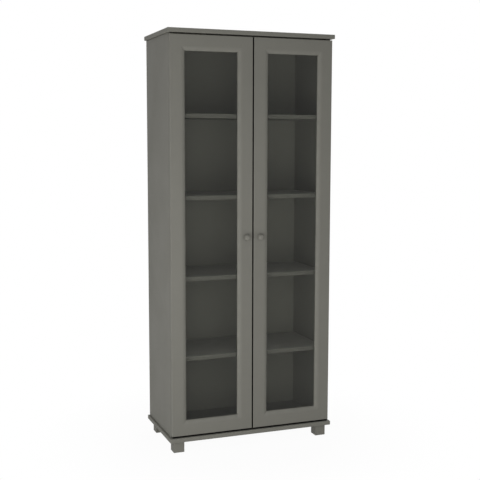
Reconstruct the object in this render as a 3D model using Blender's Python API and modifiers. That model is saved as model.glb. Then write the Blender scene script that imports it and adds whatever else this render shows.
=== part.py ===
"""Tall two-door glazed display cabinet, built from separate named pieces.

Units are metres, +Z is up, the doors face -Y and the origin is at the middle of the
bounding box's bottom. Every driving size is a named constant below.
"""
import math

import bmesh
import bpy
from mathutils import Matrix, Vector

# Overall sizes
TOTAL_HEIGHT = 1.900
BOARD_WIDTH = 0.800
BOARD_DEPTH = 0.400
BOARD_THICK = 0.019
FOOT_HEIGHT = 0.053
FOOT_SIZE = 0.050
FOOT_SIDE_INSET = 0.0205
FOOT_FRONT_INSET = 0.017
FOOT_REAR_INSET = 0.030
SIDE_OVERHANG = 0.0102
FRONT_OVERHANG = 0.007

# Panels
PANEL_THICK = 0.018
BACK_THICK = 0.004
BACK_INSET = 0.012
GROOVE_DEPTH = 0.005
SHELF_THICK = 0.018
SHELF_COUNT = 4
FIXED_SHELF = 2
SHELF_FRONT_SETBACK = 0.009
SHELF_END_CLEAR = 0.001
SHELF_REAR_CLEAR = 0.002
HOUSING_DEPTH = 0.005
EDGE_ROUND = 0.0025
SHELF_ROUND = 0.0010

# Fits
SEAM = 0.0003
DOWEL_RADIUS = 0.004
DOWEL_LENGTH = 0.011
DOWEL_END_CLEAR = 0.001

# Shelf pins
PIN_SHANK_RADIUS = 0.0022
PIN_SHANK_LENGTH = 0.008
PIN_PEG_RADIUS = 0.0035
PIN_PEG_LENGTH = 0.010
PIN_SETBACK = 0.040
PIN_HOLE_PITCH = 0.032
PIN_HOLE_ROWS = (-2, -1, 0, 1, 2)

# Doors
DOOR_THICK = 0.020
DOOR_REAR_GAP = 0.003
DOOR_TOP_GAP = 0.0062
DOOR_BASE_GAP = 0.0078
DOOR_MEETING_GAP = 0.0066
FRAME_WIDTH = 0.070
MOULDING_WIDTH = 0.0195
MOULDING_DEPTH = 0.0106
REBATE_WIDTH = 0.008
LIP_REAR = 0.0115
GLASS_THICK = 0.004
GLASS_CLEAR = 0.001
RETAINER_THICK = 0.0034
OUTER_ROUND = 0.0025
REAR_CHAMFER = 0.0015
TONGUE_LENGTH = 0.034
TONGUE_THICK = 0.006
TONGUE_REACH = 0.008

# Knobs
KNOB_RADIUS = 0.0152
KNOB_PROJECTION = 0.027
KNOB_EDGE_INSET = 0.0303
KNOB_NECK_RADIUS = 0.0070
KNOB_SCREW_RADIUS = 0.0020
KNOB_SCREW_DEPTH = 0.012
KNOB_SCREW_HEAD_RADIUS = 0.0042
KNOB_SCREW_HEAD_THICK = 0.0026

# Concealed hinges: across from the side panel's outer face, back from the carcass front
HINGE_AXIS_ACROSS = 0.007
HINGE_AXIS_BACK = -0.013
HINGE_END_INSET = 0.110
HINGE_COUNT = 3
CUP_CENTRE_ACROSS = 0.0205
CUP_RADIUS = 0.0175
CUP_WALL = 0.0015
CUP_DEPTH = 0.0125
CUP_FLANGE_HALF = 0.031
CUP_FLANGE_THICK = 0.0010
CUP_FLANGE_OUTER = 0.006
CUP_FLANGE_INNER = 0.012
CUP_RIM_STAND = 0.0007
CUP_RIB_THICK = 0.0024
CUP_RIB_OUTER = 0.0140
CUP_RIB_INNER = 0.0045
CUP_NOTCH_REACH = 0.012
CUP_NOTCH_DEPTH = 0.004
CUP_NOTCH_CLEAR = 0.0015
ARM_PIVOT_ACROSS = 0.0254
ARM_PIVOT_BACK = -0.0081
LINK_END_ACROSS = 0.0108
LINK_END_BACK = -0.0048
LINK_HALF_WIDTH = 0.0021
LINK_CHEEK = 0.0015
NOSE_HALF_THICK = 0.0045
NOSE_RADIUS = 0.0034
ARM_HALF_THICK = 0.009
ARM_LENGTH = 0.066
ARM_HEIGHT = 0.013
PLATE_THICK = 0.0035
PLATE_HALF = 0.025
PLATE_FRONT = 0.018
PLATE_REAR = 0.056
PIVOT_PIN_RADIUS = 0.0015

# Derived sizes
CARCASS_HALF = BOARD_WIDTH / 2 - SIDE_OVERHANG
INNER_HALF = CARCASS_HALF - PANEL_THICK
KNOB_BEYOND_BOARD = KNOB_PROJECTION - FRONT_OVERHANG
REAR_Y = (BOARD_DEPTH + KNOB_BEYOND_BOARD) / 2
BOARD_FRONT_Y = REAR_Y - BOARD_DEPTH
DOOR_FRONT_Y = BOARD_FRONT_Y + FRONT_OVERHANG
DOOR_REAR_Y = DOOR_FRONT_Y + DOOR_THICK
CARCASS_FRONT_Y = DOOR_REAR_Y + DOOR_REAR_GAP
BACK_REAR_Y = REAR_Y - BACK_INSET
BACK_FRONT_Y = BACK_REAR_Y - BACK_THICK
BASE_TOP_Z = FOOT_HEIGHT + BOARD_THICK
TOP_BOTTOM_Z = TOTAL_HEIGHT - BOARD_THICK
DOOR_BOTTOM_Z = BASE_TOP_Z + DOOR_BASE_GAP
DOOR_TOP_Z = TOP_BOTTOM_Z - DOOR_TOP_GAP
DOOR_HEIGHT = DOOR_TOP_Z - DOOR_BOTTOM_Z
DOOR_WIDTH = CARCASS_HALF - DOOR_MEETING_GAP / 2
FRAME_FLAT = FRAME_WIDTH - MOULDING_WIDTH
REBATE_START = FRAME_WIDTH - REBATE_WIDTH
COMPARTMENT = (TOP_BOTTOM_Z - BASE_TOP_Z - SHELF_COUNT * SHELF_THICK) / (SHELF_COUNT + 1)
SHELF_FRONT_Y = CARCASS_FRONT_Y + SHELF_FRONT_SETBACK
SHELF_REAR_Y = BACK_FRONT_Y - SHELF_REAR_CLEAR
PIN_FRONT_Y = SHELF_FRONT_Y + PIN_SETBACK
PIN_REAR_Y = SHELF_REAR_Y - PIN_SETBACK
KNOB_ACROSS = DOOR_WIDTH - KNOB_EDGE_INSET
KNOB_Z = (DOOR_BOTTOM_Z + DOOR_TOP_Z) / 2
NEGLIGIBLE = 1e-9


def clear_scene():
    for thing in list(bpy.data.objects):
        bpy.data.objects.remove(thing, do_unlink=True)


def linear(value):
    value = value / 255.0
    if value <= 0.04045:
        return value / 12.92
    return ((value + 0.055) / 1.055) ** 2.4


def make_material(name, red, green, blue, roughness, metallic):
    material = bpy.data.materials.new(name)
    material.use_nodes = True
    shader = material.node_tree.nodes["Principled BSDF"]
    shader.inputs["Base Color"].default_value = (linear(red), linear(green), linear(blue), 1.0)
    shader.inputs["Roughness"].default_value = roughness
    shader.inputs["Metallic"].default_value = metallic
    return material


clear_scene()
CABINET = bpy.data.collections.new("display_cabinet")
CUTTERS = bpy.data.collections.new("cutters")
bpy.context.scene.collection.children.link(CABINET)
bpy.context.scene.collection.children.link(CUTTERS)
CUTTERS.hide_render = True

PAINT = make_material("paint", 112, 111, 104, 0.45, 0.0)
BACKING = make_material("backing", 104, 103, 97, 0.60, 0.0)
GLASS = make_material("glass", 235, 240, 238, 0.05, 0.0)
STEEL = make_material("steel", 190, 190, 188, 0.30, 1.0)
PLASTIC = make_material("plastic", 120, 119, 113, 0.50, 0.0)


def place(name, mesh_builder, location, material, collection=None):
    mesh = bpy.data.meshes.new(name)
    bmesh.ops.recalc_face_normals(mesh_builder, faces=mesh_builder.faces)
    mesh_builder.to_mesh(mesh)
    mesh_builder.free()
    thing = bpy.data.objects.new(name, mesh)
    thing.location = location
    (collection or CABINET).objects.link(thing)
    if material is not None:
        mesh.materials.append(material)
    if collection is CUTTERS:
        thing.hide_render = True
        thing.display_type = 'WIRE'
    return thing


def box_builder(size_x, size_y, size_z):
    builder = bmesh.new()
    bmesh.ops.create_cube(builder, size=1.0, matrix=Matrix.Diagonal((size_x, size_y, size_z, 1.0)))
    return builder


def box(name, low, high, material, collection=None):
    low = Vector(low)
    high = Vector(high)
    size = high - low
    return place(name, box_builder(size.x, size.y, size.z), (low + high) / 2, material, collection)


def rod_into(builder, radius, length, centre, axis, segments):
    """Add a closed cylinder to a mesh: its middle at centre, its length along axis."""
    turn = Vector((0.0, 0.0, 1.0)).rotation_difference(Vector(axis)).to_matrix().to_4x4()
    bmesh.ops.create_cone(builder, cap_ends=True, segments=segments, radius1=radius, radius2=radius,
                          depth=length, matrix=Matrix.Translation(Vector(centre)) @ turn)


def rods(name, entries, material, collection, segments=16):
    """Several cylinders in one mesh, as a cutter: (radius, length, centre, axis) each."""
    builder = bmesh.new()
    for radius, length, centre, axis in entries:
        rod_into(builder, radius, length, centre, axis, segments)
    return place(name, builder, (0.0, 0.0, 0.0), material, collection)


def prism_builder(outline, low_z, high_z):
    """A straight prism along Z over a flat outline of (x, y) points."""
    builder = bmesh.new()
    low = [builder.verts.new((x, y, low_z)) for x, y in outline]
    high = [builder.verts.new((x, y, high_z)) for x, y in outline]
    count = len(outline)
    builder.faces.new(list(reversed(low)))
    builder.faces.new(high)
    for i in range(count):
        j = (i + 1) % count
        builder.faces.new((low[i], low[j], high[j], high[i]))
    return builder


def turned_builder(profile, segments):
    """A solid turned about Z from (radius, z) points that start and end on the axis."""
    builder = bmesh.new()
    rings = []
    for radius, z in profile:
        if radius < NEGLIGIBLE:
            rings.append([builder.verts.new((0.0, 0.0, z))])
            continue
        ring = []
        for i in range(segments):
            angle = 2.0 * math.pi * i / segments
            ring.append(builder.verts.new((radius * math.cos(angle), radius * math.sin(angle), z)))
        rings.append(ring)
    for first, second in zip(rings, rings[1:]):
        for i in range(segments):
            j = (i + 1) % segments
            if len(first) == 1:
                builder.faces.new((first[0], second[i], second[j]))
            elif len(second) == 1:
                builder.faces.new((first[i], second[0], first[j]))
            else:
                builder.faces.new((first[i], second[i], second[j], first[j]))
    return builder


def add_boolean(thing, other, operation):
    modifier = thing.modifiers.new(other.name, 'BOOLEAN')
    modifier.operation = operation
    modifier.solver = 'EXACT'
    modifier.object = other


def soften(thing, width, segments=2):
    modifier = thing.modifiers.new("soft edges", 'BEVEL')
    modifier.width = width
    modifier.segments = segments
    modifier.limit_method = 'ANGLE'


def side_name(side):
    return "left" if side < 0 else "right"


def across(side, distance):
    """World X at a distance in from the outer face of one side panel."""
    return side * (CARCASS_HALF - distance)


def shelf_bottom(number):
    """Underside of a shelf, counted from the lowest."""
    return BASE_TOP_Z + number * COMPARTMENT + (number - 1) * SHELF_THICK


# Boards, with dowel holes and back panel grooves
def dowel_rows():
    depth = REAR_Y - CARCASS_FRONT_Y
    return (CARCASS_FRONT_Y + 0.15 * depth, CARCASS_FRONT_Y + 0.80 * depth)


def foot_centres():
    x = BOARD_WIDTH / 2 - FOOT_SIDE_INSET - FOOT_SIZE / 2
    front = BOARD_FRONT_Y + FOOT_FRONT_INSET + FOOT_SIZE / 2
    rear = REAR_Y - FOOT_REAR_INSET - FOOT_SIZE / 2
    return {"foot_front_left": (-x, front), "foot_front_right": (x, front),
            "foot_rear_left": (-x, rear), "foot_rear_right": (x, rear)}


def build_boards():
    half = BOARD_WIDTH / 2
    top = box("top_board", (-half, BOARD_FRONT_Y, TOP_BOTTOM_Z), (half, REAR_Y, TOTAL_HEIGHT), PAINT)
    base = box("base_board", (-half, BOARD_FRONT_Y, FOOT_HEIGHT), (half, REAR_Y, BASE_TOP_Z), PAINT)
    hole = DOWEL_RADIUS + SEAM
    depth = DOWEL_LENGTH + DOWEL_END_CLEAR
    middle = CARCASS_HALF - PANEL_THICK / 2
    for board, face, way in ((top, TOP_BOTTOM_Z, 1), (base, BASE_TOP_Z, -1)):
        soften(board, EDGE_ROUND, 3)
        entries = []
        for side in (-1, 1):
            for y in dowel_rows():
                entries.append((hole, 2 * depth, (side * middle, y, face), (0, 0, 1)))
        add_boolean(board, rods(board.name + "_dowel_holes", entries, None, CUTTERS), 'DIFFERENCE')
        slot_half = INNER_HALF + GROOVE_DEPTH
        groove = box(board.name + "_groove", (-slot_half, BACK_FRONT_Y - SEAM, face - GROOVE_DEPTH),
                     (slot_half, BACK_REAR_Y + SEAM, face + GROOVE_DEPTH), None, CUTTERS)
        add_boolean(board, groove, 'DIFFERENCE')
    entries = []
    for x, y in foot_centres().values():
        entries.append((hole, 2 * depth, (x, y, FOOT_HEIGHT), (0, 0, 1)))
    add_boolean(base, rods("foot_dowel_holes", entries, None, CUTTERS), 'DIFFERENCE')


def build_feet():
    for name, (x, y) in foot_centres().items():
        half = FOOT_SIZE / 2
        foot = box(name, (x - half, y - half, 0.0), (x + half, y + half, FOOT_HEIGHT - SEAM), PAINT)
        soften(foot, SHELF_ROUND)
        top = FOOT_HEIGHT - SEAM
        peg = rods(name + "_dowel", [(DOWEL_RADIUS, 2 * DOWEL_LENGTH, (x, y, top), (0, 0, 1))], None, CUTTERS)
        add_boolean(foot, peg, 'UNION')


def build_sides():
    low_z = BASE_TOP_Z + SEAM
    high_z = TOP_BOTTOM_Z - SEAM
    middle = CARCASS_HALF - PANEL_THICK / 2
    for side in (-1, 1):
        name = "side_panel_" + side_name(side)
        edges = sorted((side * INNER_HALF, side * CARCASS_HALF))
        panel = box(name, (edges[0], CARCASS_FRONT_Y, low_z), (edges[1], REAR_Y, high_z), PAINT)
        soften(panel, SHELF_ROUND, 1)
        pegs = []
        for y in dowel_rows():
            for z in (low_z, high_z):
                pegs.append((DOWEL_RADIUS, 2 * DOWEL_LENGTH, (side * middle, y, z), (0, 0, 1)))
        add_boolean(panel, rods(name + "_dowels", pegs, None, CUTTERS), 'UNION')
        inner = sorted((side * (INNER_HALF - GROOVE_DEPTH), side * (INNER_HALF + GROOVE_DEPTH)))
        groove = box(name + "_groove", (inner[0], BACK_FRONT_Y - SEAM, low_z - BOARD_THICK),
                     (inner[1], BACK_REAR_Y + SEAM, high_z + BOARD_THICK), None, CUTTERS)
        add_boolean(panel, groove, 'DIFFERENCE')
        housing_low = shelf_bottom(FIXED_SHELF) - SEAM
        inner = sorted((side * (INNER_HALF - HOUSING_DEPTH), side * (INNER_HALF + HOUSING_DEPTH)))
        housing = box(name + "_housing", (inner[0], SHELF_FRONT_Y - SEAM, housing_low),
                      (inner[1], SHELF_REAR_Y + SEAM, housing_low + SHELF_THICK + 2 * SEAM), None, CUTTERS)
        add_boolean(panel, housing, 'DIFFERENCE')
        holes = []
        radius = PIN_SHANK_RADIUS + SEAM
        depth = PIN_SHANK_LENGTH + DOWEL_END_CLEAR
        for number in range(1, SHELF_COUNT + 1):
            if number == FIXED_SHELF:
                continue
            for row in PIN_HOLE_ROWS:
                z = shelf_bottom(number) - SEAM - PIN_PEG_RADIUS + row * PIN_HOLE_PITCH
                for y in (PIN_FRONT_Y, PIN_REAR_Y):
                    holes.append((radius, 2 * depth, (side * INNER_HALF, y, z), (1, 0, 0)))
        add_boolean(panel, rods(name + "_pin_holes", holes, None, CUTTERS, 8), 'DIFFERENCE')


def build_back():
    half = INNER_HALF + GROOVE_DEPTH - SEAM
    box("back_panel", (-half, BACK_FRONT_Y, BASE_TOP_Z - GROOVE_DEPTH + SEAM),
        (half, BACK_REAR_Y, TOP_BOTTOM_Z + GROOVE_DEPTH - SEAM), BACKING)


def build_shelves():
    for number in range(1, SHELF_COUNT + 1):
        low = shelf_bottom(number)
        half = INNER_HALF - SHELF_END_CLEAR
        name = "shelf_%d" % number
        if number == FIXED_SHELF:
            half = INNER_HALF + HOUSING_DEPTH - SEAM
            name = "shelf_%d_fixed" % number
        shelf = box(name, (-half, SHELF_FRONT_Y, low), (half, SHELF_REAR_Y, low + SHELF_THICK), PAINT)
        soften(shelf, SHELF_ROUND)


def build_shelf_pins():
    profile = [(0.0, -PIN_SHANK_LENGTH), (PIN_SHANK_RADIUS, -PIN_SHANK_LENGTH), (PIN_SHANK_RADIUS, SEAM),
               (PIN_PEG_RADIUS, SEAM), (PIN_PEG_RADIUS, PIN_PEG_LENGTH), (0.0, PIN_PEG_LENGTH)]
    for number in range(1, SHELF_COUNT + 1):
        if number == FIXED_SHELF:
            continue
        z = shelf_bottom(number) - SEAM - PIN_PEG_RADIUS
        for side in (-1, 1):
            for row, y in (("front", PIN_FRONT_Y), ("rear", PIN_REAR_Y)):
                name = "shelf_pin_%d_%s_%s" % (number, row, side_name(side))
                pin = place(name, turned_builder(profile, 12), (side * INNER_HALF, y, z), PLASTIC)
                pin.rotation_euler = (0.0, -side * math.pi / 2, 0.0)


# Doors
def frame_profile():
    """Section of a door frame member: (in from the outer edge, back from the front face)."""
    points = [(0.0, DOOR_THICK - REAR_CHAMFER)]
    steps = 4
    for i in range(steps + 1):
        angle = 0.5 * math.pi * i / steps
        points.append((OUTER_ROUND * (1.0 - math.cos(angle)), OUTER_ROUND * (1.0 - math.sin(angle))))
    width = MOULDING_WIDTH
    deep = MOULDING_DEPTH
    for part_width, part_depth in ((0.0, 0.0), (0.20, 0.085), (0.40, 0.19), (0.60, 0.35), (0.75, 0.51),
                                   (0.88, 0.72), (1.0, 1.0)):
        points.append((FRAME_FLAT + part_width * width, part_depth * deep))
    points.append((FRAME_WIDTH, LIP_REAR))
    points.append((REBATE_START, LIP_REAR))
    points.append((REBATE_START, DOOR_THICK))
    points.append((REAR_CHAMFER, DOOR_THICK))
    return points


def member_builder(profile, length, inward, along):
    """A mitred frame member: its section runs along one edge and both ends are cut at 45 degrees."""
    builder = bmesh.new()
    inward = Vector(inward)
    along = Vector(along)
    back = Vector((0.0, 1.0, 0.0))
    trim = SEAM / 2 * math.sqrt(2.0)
    first = [builder.verts.new(inward * w + back * d + along * (w + trim)) for w, d in profile]
    last = [builder.verts.new(inward * w + back * d + along * (length - w - trim)) for w, d in profile]
    count = len(profile)
    builder.faces.new(first)
    builder.faces.new(list(reversed(last)))
    for i in range(count):
        j = (i + 1) % count
        builder.faces.new((first[i], first[j], last[j], last[i]))
    return builder


def tongue(name, corner, inward_x, inward_z, grow):
    """A flat tongue across a mitre: from inside the rail to a short way into the stile."""
    middle = FRAME_FLAT / 2
    reach_rail = 0.5 * TONGUE_REACH
    reach_stile = TONGUE_REACH + grow
    builder = box_builder(TONGUE_LENGTH + 2 * grow, TONGUE_THICK + 2 * grow, reach_rail + reach_stile)
    bmesh.ops.translate(builder, verts=builder.verts, vec=(0.0, 0.0, (reach_stile - reach_rail) / 2))
    along = Vector((inward_x, 0.0, inward_z)).normalized()
    toward_stile = Vector((-inward_x, 0.0, inward_z)).normalized()
    back = toward_stile.cross(along)
    turn = Matrix((along, back, toward_stile)).transposed().to_4x4()
    bmesh.ops.transform(builder, verts=builder.verts, matrix=turn)
    centre = Vector(corner) + Vector((inward_x * middle, DOOR_THICK / 2, inward_z * middle))
    return place(name, builder, centre, None, CUTTERS)


def hinge_heights():
    low = DOOR_BOTTOM_Z + HINGE_END_INSET
    high = DOOR_TOP_Z - HINGE_END_INSET
    return [low + (high - low) * i / (HINGE_COUNT - 1) for i in range(HINGE_COUNT)]


def parent_to(thing, empty):
    thing.parent = empty
    thing.location = thing.location - empty.location


def pivot_empty(name, side, distance, back):
    empty = bpy.data.objects.new(name, None)
    empty.location = (across(side, distance), CARCASS_FRONT_Y + back, DOOR_BOTTOM_Z)
    CABINET.objects.link(empty)
    return empty


def build_door(side):
    word = side_name(side)
    hinge = pivot_empty("pivot_%s_door" % word, side, HINGE_AXIS_ACROSS, HINGE_AXIS_BACK)
    profile = frame_profile()
    outer_x = side * CARCASS_HALF
    meeting_x = side * (CARCASS_HALF - DOOR_WIDTH)
    inward = -side
    pieces = []
    hinge_stile = place("%s_door_hinge_stile" % word,
                        member_builder(profile, DOOR_HEIGHT, (inward, 0, 0), (0, 0, 1)),
                        (outer_x, DOOR_FRONT_Y, DOOR_BOTTOM_Z), PAINT)
    lock_stile = place("%s_door_lock_stile" % word,
                       member_builder(profile, DOOR_HEIGHT, (-inward, 0, 0), (0, 0, 1)),
                       (meeting_x, DOOR_FRONT_Y, DOOR_BOTTOM_Z), PAINT)
    bottom_rail = place("%s_door_bottom_rail" % word,
                        member_builder(profile, DOOR_WIDTH, (0, 0, 1), (inward, 0, 0)),
                        (outer_x, DOOR_FRONT_Y, DOOR_BOTTOM_Z), PAINT)
    top_rail = place("%s_door_top_rail" % word,
                     member_builder(profile, DOOR_WIDTH, (0, 0, -1), (inward, 0, 0)),
                     (outer_x, DOOR_FRONT_Y, DOOR_TOP_Z), PAINT)
    pieces.extend((hinge_stile, lock_stile, bottom_rail, top_rail))
    for rail, z, up in ((bottom_rail, DOOR_BOTTOM_Z, 1), (top_rail, DOOR_TOP_Z, -1)):
        for stile, x, way in ((hinge_stile, outer_x, inward), (lock_stile, meeting_x, -inward)):
            corner = (x, DOOR_FRONT_Y, z)
            label = "%s_%s" % (rail.name, stile.name)
            add_boolean(rail, tongue(label + "_tongue", corner, way, up, 0.0), 'UNION')
            add_boolean(stile, tongue(label + "_slot", corner, way, up, SEAM), 'DIFFERENCE')
    bores = []
    cup_x = across(side, CUP_CENTRE_ACROSS)
    bore_depth = CUP_DEPTH + SEAM
    for z in hinge_heights():
        bores.append((CUP_RADIUS + SEAM, 2 * bore_depth, (cup_x, DOOR_REAR_Y, z), (0, 1, 0)))
    add_boolean(hinge_stile, rods(hinge_stile.name + "_bores", bores, None, CUTTERS, 32), 'DIFFERENCE')
    knob_x = across(side, KNOB_ACROSS)
    screw_hole = [(KNOB_SCREW_RADIUS + SEAM, 3 * DOOR_THICK, (knob_x, DOOR_REAR_Y, KNOB_Z), (0, 1, 0))]
    add_boolean(lock_stile, rods(lock_stile.name + "_screw_hole", screw_hole, None, CUTTERS), 'DIFFERENCE')
    pieces.extend(build_glazing(side, word, outer_x, inward))
    pieces.extend(build_knob(word, knob_x))
    for piece in pieces:
        parent_to(piece, hinge)
    return hinge


def build_glazing(side, word, outer_x, inward):
    edge = REBATE_START + GLASS_CLEAR
    front = DOOR_FRONT_Y + LIP_REAR + SEAM
    span = sorted((outer_x + inward * edge, outer_x + inward * (DOOR_WIDTH - edge)))
    pane = box("%s_door_glass" % word, (span[0], front, DOOR_BOTTOM_Z + edge),
               (span[1], front + GLASS_THICK, DOOR_TOP_Z - edge), GLASS)
    start = front + GLASS_THICK + SEAM
    edge = REBATE_START + SEAM
    span = sorted((outer_x + inward * edge, outer_x + inward * (DOOR_WIDTH - edge)))
    retainer = box("%s_door_glass_retainer" % word, (span[0], start, DOOR_BOTTOM_Z + edge),
                   (span[1], start + RETAINER_THICK, DOOR_TOP_Z - edge), PLASTIC)
    edge = FRAME_WIDTH + SEAM
    span = sorted((outer_x + inward * edge, outer_x + inward * (DOOR_WIDTH - edge)))
    opening = box("%s_door_retainer_opening" % word, (span[0], start - DOOR_THICK, DOOR_BOTTOM_Z + edge),
                  (span[1], start + DOOR_THICK, DOOR_TOP_Z - edge), None, CUTTERS)
    add_boolean(retainer, opening, 'DIFFERENCE')
    return [pane, retainer]


def build_knob(word, knob_x):
    reach = KNOB_PROJECTION
    radius = KNOB_RADIUS
    neck = KNOB_NECK_RADIUS
    bore = KNOB_SCREW_RADIUS + SEAM
    profile = [(0.0, KNOB_SCREW_DEPTH + SEAM), (bore, KNOB_SCREW_DEPTH + SEAM), (bore, SEAM),
               (neck * 1.35, SEAM), (neck * 1.35, 0.07 * reach), (neck, 0.15 * reach), (neck, 0.26 * reach),
               (0.62 * radius, 0.34 * reach), (0.88 * radius, 0.44 * reach), (radius, 0.57 * reach),
               (0.95 * radius, 0.70 * reach), (0.83 * radius, 0.80 * reach), (0.66 * radius, 0.88 * reach),
               (0.46 * radius, 0.943 * reach), (0.24 * radius, 0.985 * reach), (0.0, reach)]
    knob = place("%s_knob" % word, turned_builder(profile, 28), (knob_x, DOOR_FRONT_Y, KNOB_Z), PAINT)
    knob.rotation_euler = (math.pi / 2, 0.0, 0.0)
    shank = KNOB_SCREW_RADIUS
    head = KNOB_SCREW_HEAD_RADIUS
    thick = KNOB_SCREW_HEAD_THICK
    tip = DOOR_THICK + KNOB_SCREW_DEPTH
    profile = [(0.0, tip), (shank, tip), (shank, -SEAM), (head, -SEAM), (head, -SEAM - 0.6 * thick),
               (0.7 * head, -SEAM - thick), (0.0, -SEAM - thick)]
    screw = place("%s_knob_screw" % word, turned_builder(profile, 16), (knob_x, DOOR_REAR_Y, KNOB_Z), STEEL)
    screw.rotation_euler = (math.pi / 2, 0.0, 0.0)
    return [knob, screw]


# Concealed hinges
def rounded_bar(start, end, half_width, steps):
    """Outline of a bar with round ends between two points."""
    start = Vector(start)
    end = Vector(end)
    heading = math.atan2(end.y - start.y, end.x - start.x)
    points = []
    for centre, turn in ((end, -0.5 * math.pi), (start, 0.5 * math.pi)):
        for i in range(steps + 1):
            angle = heading + turn + math.pi * i / steps
            points.append((centre.x + half_width * math.cos(angle), centre.y + half_width * math.sin(angle)))
    return points


def side_outline(side, points):
    """Turn (in from the outer face, back from the carcass front) points to world (x, y)."""
    return [(across(side, u), CARCASS_FRONT_Y + v) for u, v in points]


def build_hinge_arm(side, number, z):
    name = "hinge_arm_%s_%d" % (side_name(side), number)
    face = PANEL_THICK + SEAM
    plate_top = face + PLATE_THICK
    arm_top = face + ARM_HEIGHT
    nose = NOSE_RADIUS
    centre = (ARM_PIVOT_ACROSS, ARM_PIVOT_BACK)
    tip = [(centre[0] - nose, PLATE_FRONT), (centre[0] - nose, centre[1])]
    steps = 8
    for i in range(1, steps):
        angle = math.pi + math.pi * i / steps
        tip.append((centre[0] + nose * math.cos(angle), centre[1] + nose * math.sin(angle)))
    tip.append((centre[0] + nose, centre[1]))
    tip.append((centre[0] + nose, PLATE_FRONT))
    arm = place(name, prism_builder(side_outline(side, tip), -NOSE_HALF_THICK, NOSE_HALF_THICK), (0, 0, z), STEEL)
    body = [(plate_top - SEAM, 0.30 * PLATE_FRONT), (arm_top - 0.004, 0.30 * PLATE_FRONT),
            (arm_top, 0.30 * PLATE_FRONT + 0.006), (arm_top, ARM_LENGTH - 0.012),
            (plate_top + 0.002, ARM_LENGTH), (plate_top - SEAM, ARM_LENGTH)]
    channel = place(name + "_channel", prism_builder(side_outline(side, body), -ARM_HALF_THICK, ARM_HALF_THICK),
                    (0, 0, z), None, CUTTERS)
    add_boolean(arm, channel, 'UNION')
    wing = [(face, PLATE_FRONT), (plate_top, PLATE_FRONT), (plate_top, PLATE_REAR), (face, PLATE_REAR)]
    plate = place(name + "_plate", prism_builder(side_outline(side, wing), -PLATE_HALF, PLATE_HALF),
                  (0, 0, z), None, CUTTERS)
    add_boolean(arm, plate, 'UNION')
    heads = []
    for way in (-1, 1):
        spot = (across(side, plate_top), CARCASS_FRONT_Y + (PLATE_FRONT + PLATE_REAR) / 2, z + way * 0.016)
        heads.append((0.0042, 0.003, spot, (1, 0, 0)))
    add_boolean(arm, rods(name + "_heads", heads, None, CUTTERS, 12), 'UNION')
    bore = [(PIVOT_PIN_RADIUS + SEAM, 4 * NOSE_HALF_THICK,
             (across(side, centre[0]), CARCASS_FRONT_Y + centre[1], z), (0, 0, 1))]
    add_boolean(arm, rods(name + "_bore", bore, None, CUTTERS, 12), 'DIFFERENCE')
    return arm


def build_hinge_link(side, number, z, pivot):
    name = "hinge_link_%s_%d" % (side_name(side), number)
    start = (ARM_PIVOT_ACROSS, ARM_PIVOT_BACK)
    end = (LINK_END_ACROSS, LINK_END_BACK)
    outline = side_outline(side, rounded_bar(start, end, LINK_HALF_WIDTH, 6))
    inner = NOSE_HALF_THICK + SEAM
    outer = inner + LINK_CHEEK
    link = place(name, prism_builder(outline, inner, outer), (0, 0, z), STEEL)
    second = place(name + "_cheek", prism_builder(outline, -outer, -inner), (0, 0, z), None, CUTTERS)
    add_boolean(link, second, 'UNION')
    pin_x = across(side, start[0])
    pin_y = CARCASS_FRONT_Y + start[1]
    bar_x = across(side, end[0])
    bar_y = CARCASS_FRONT_Y + end[1]
    length = inner + outer
    pins = [(PIVOT_PIN_RADIUS, length, (pin_x, pin_y, z), (0, 0, 1)),
            (0.8 * LINK_HALF_WIDTH, length, (bar_x, bar_y, z), (0, 0, 1))]
    add_boolean(link, rods(name + "_pins", pins, None, CUTTERS, 12), 'UNION')
    parent_to(link, pivot)


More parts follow.
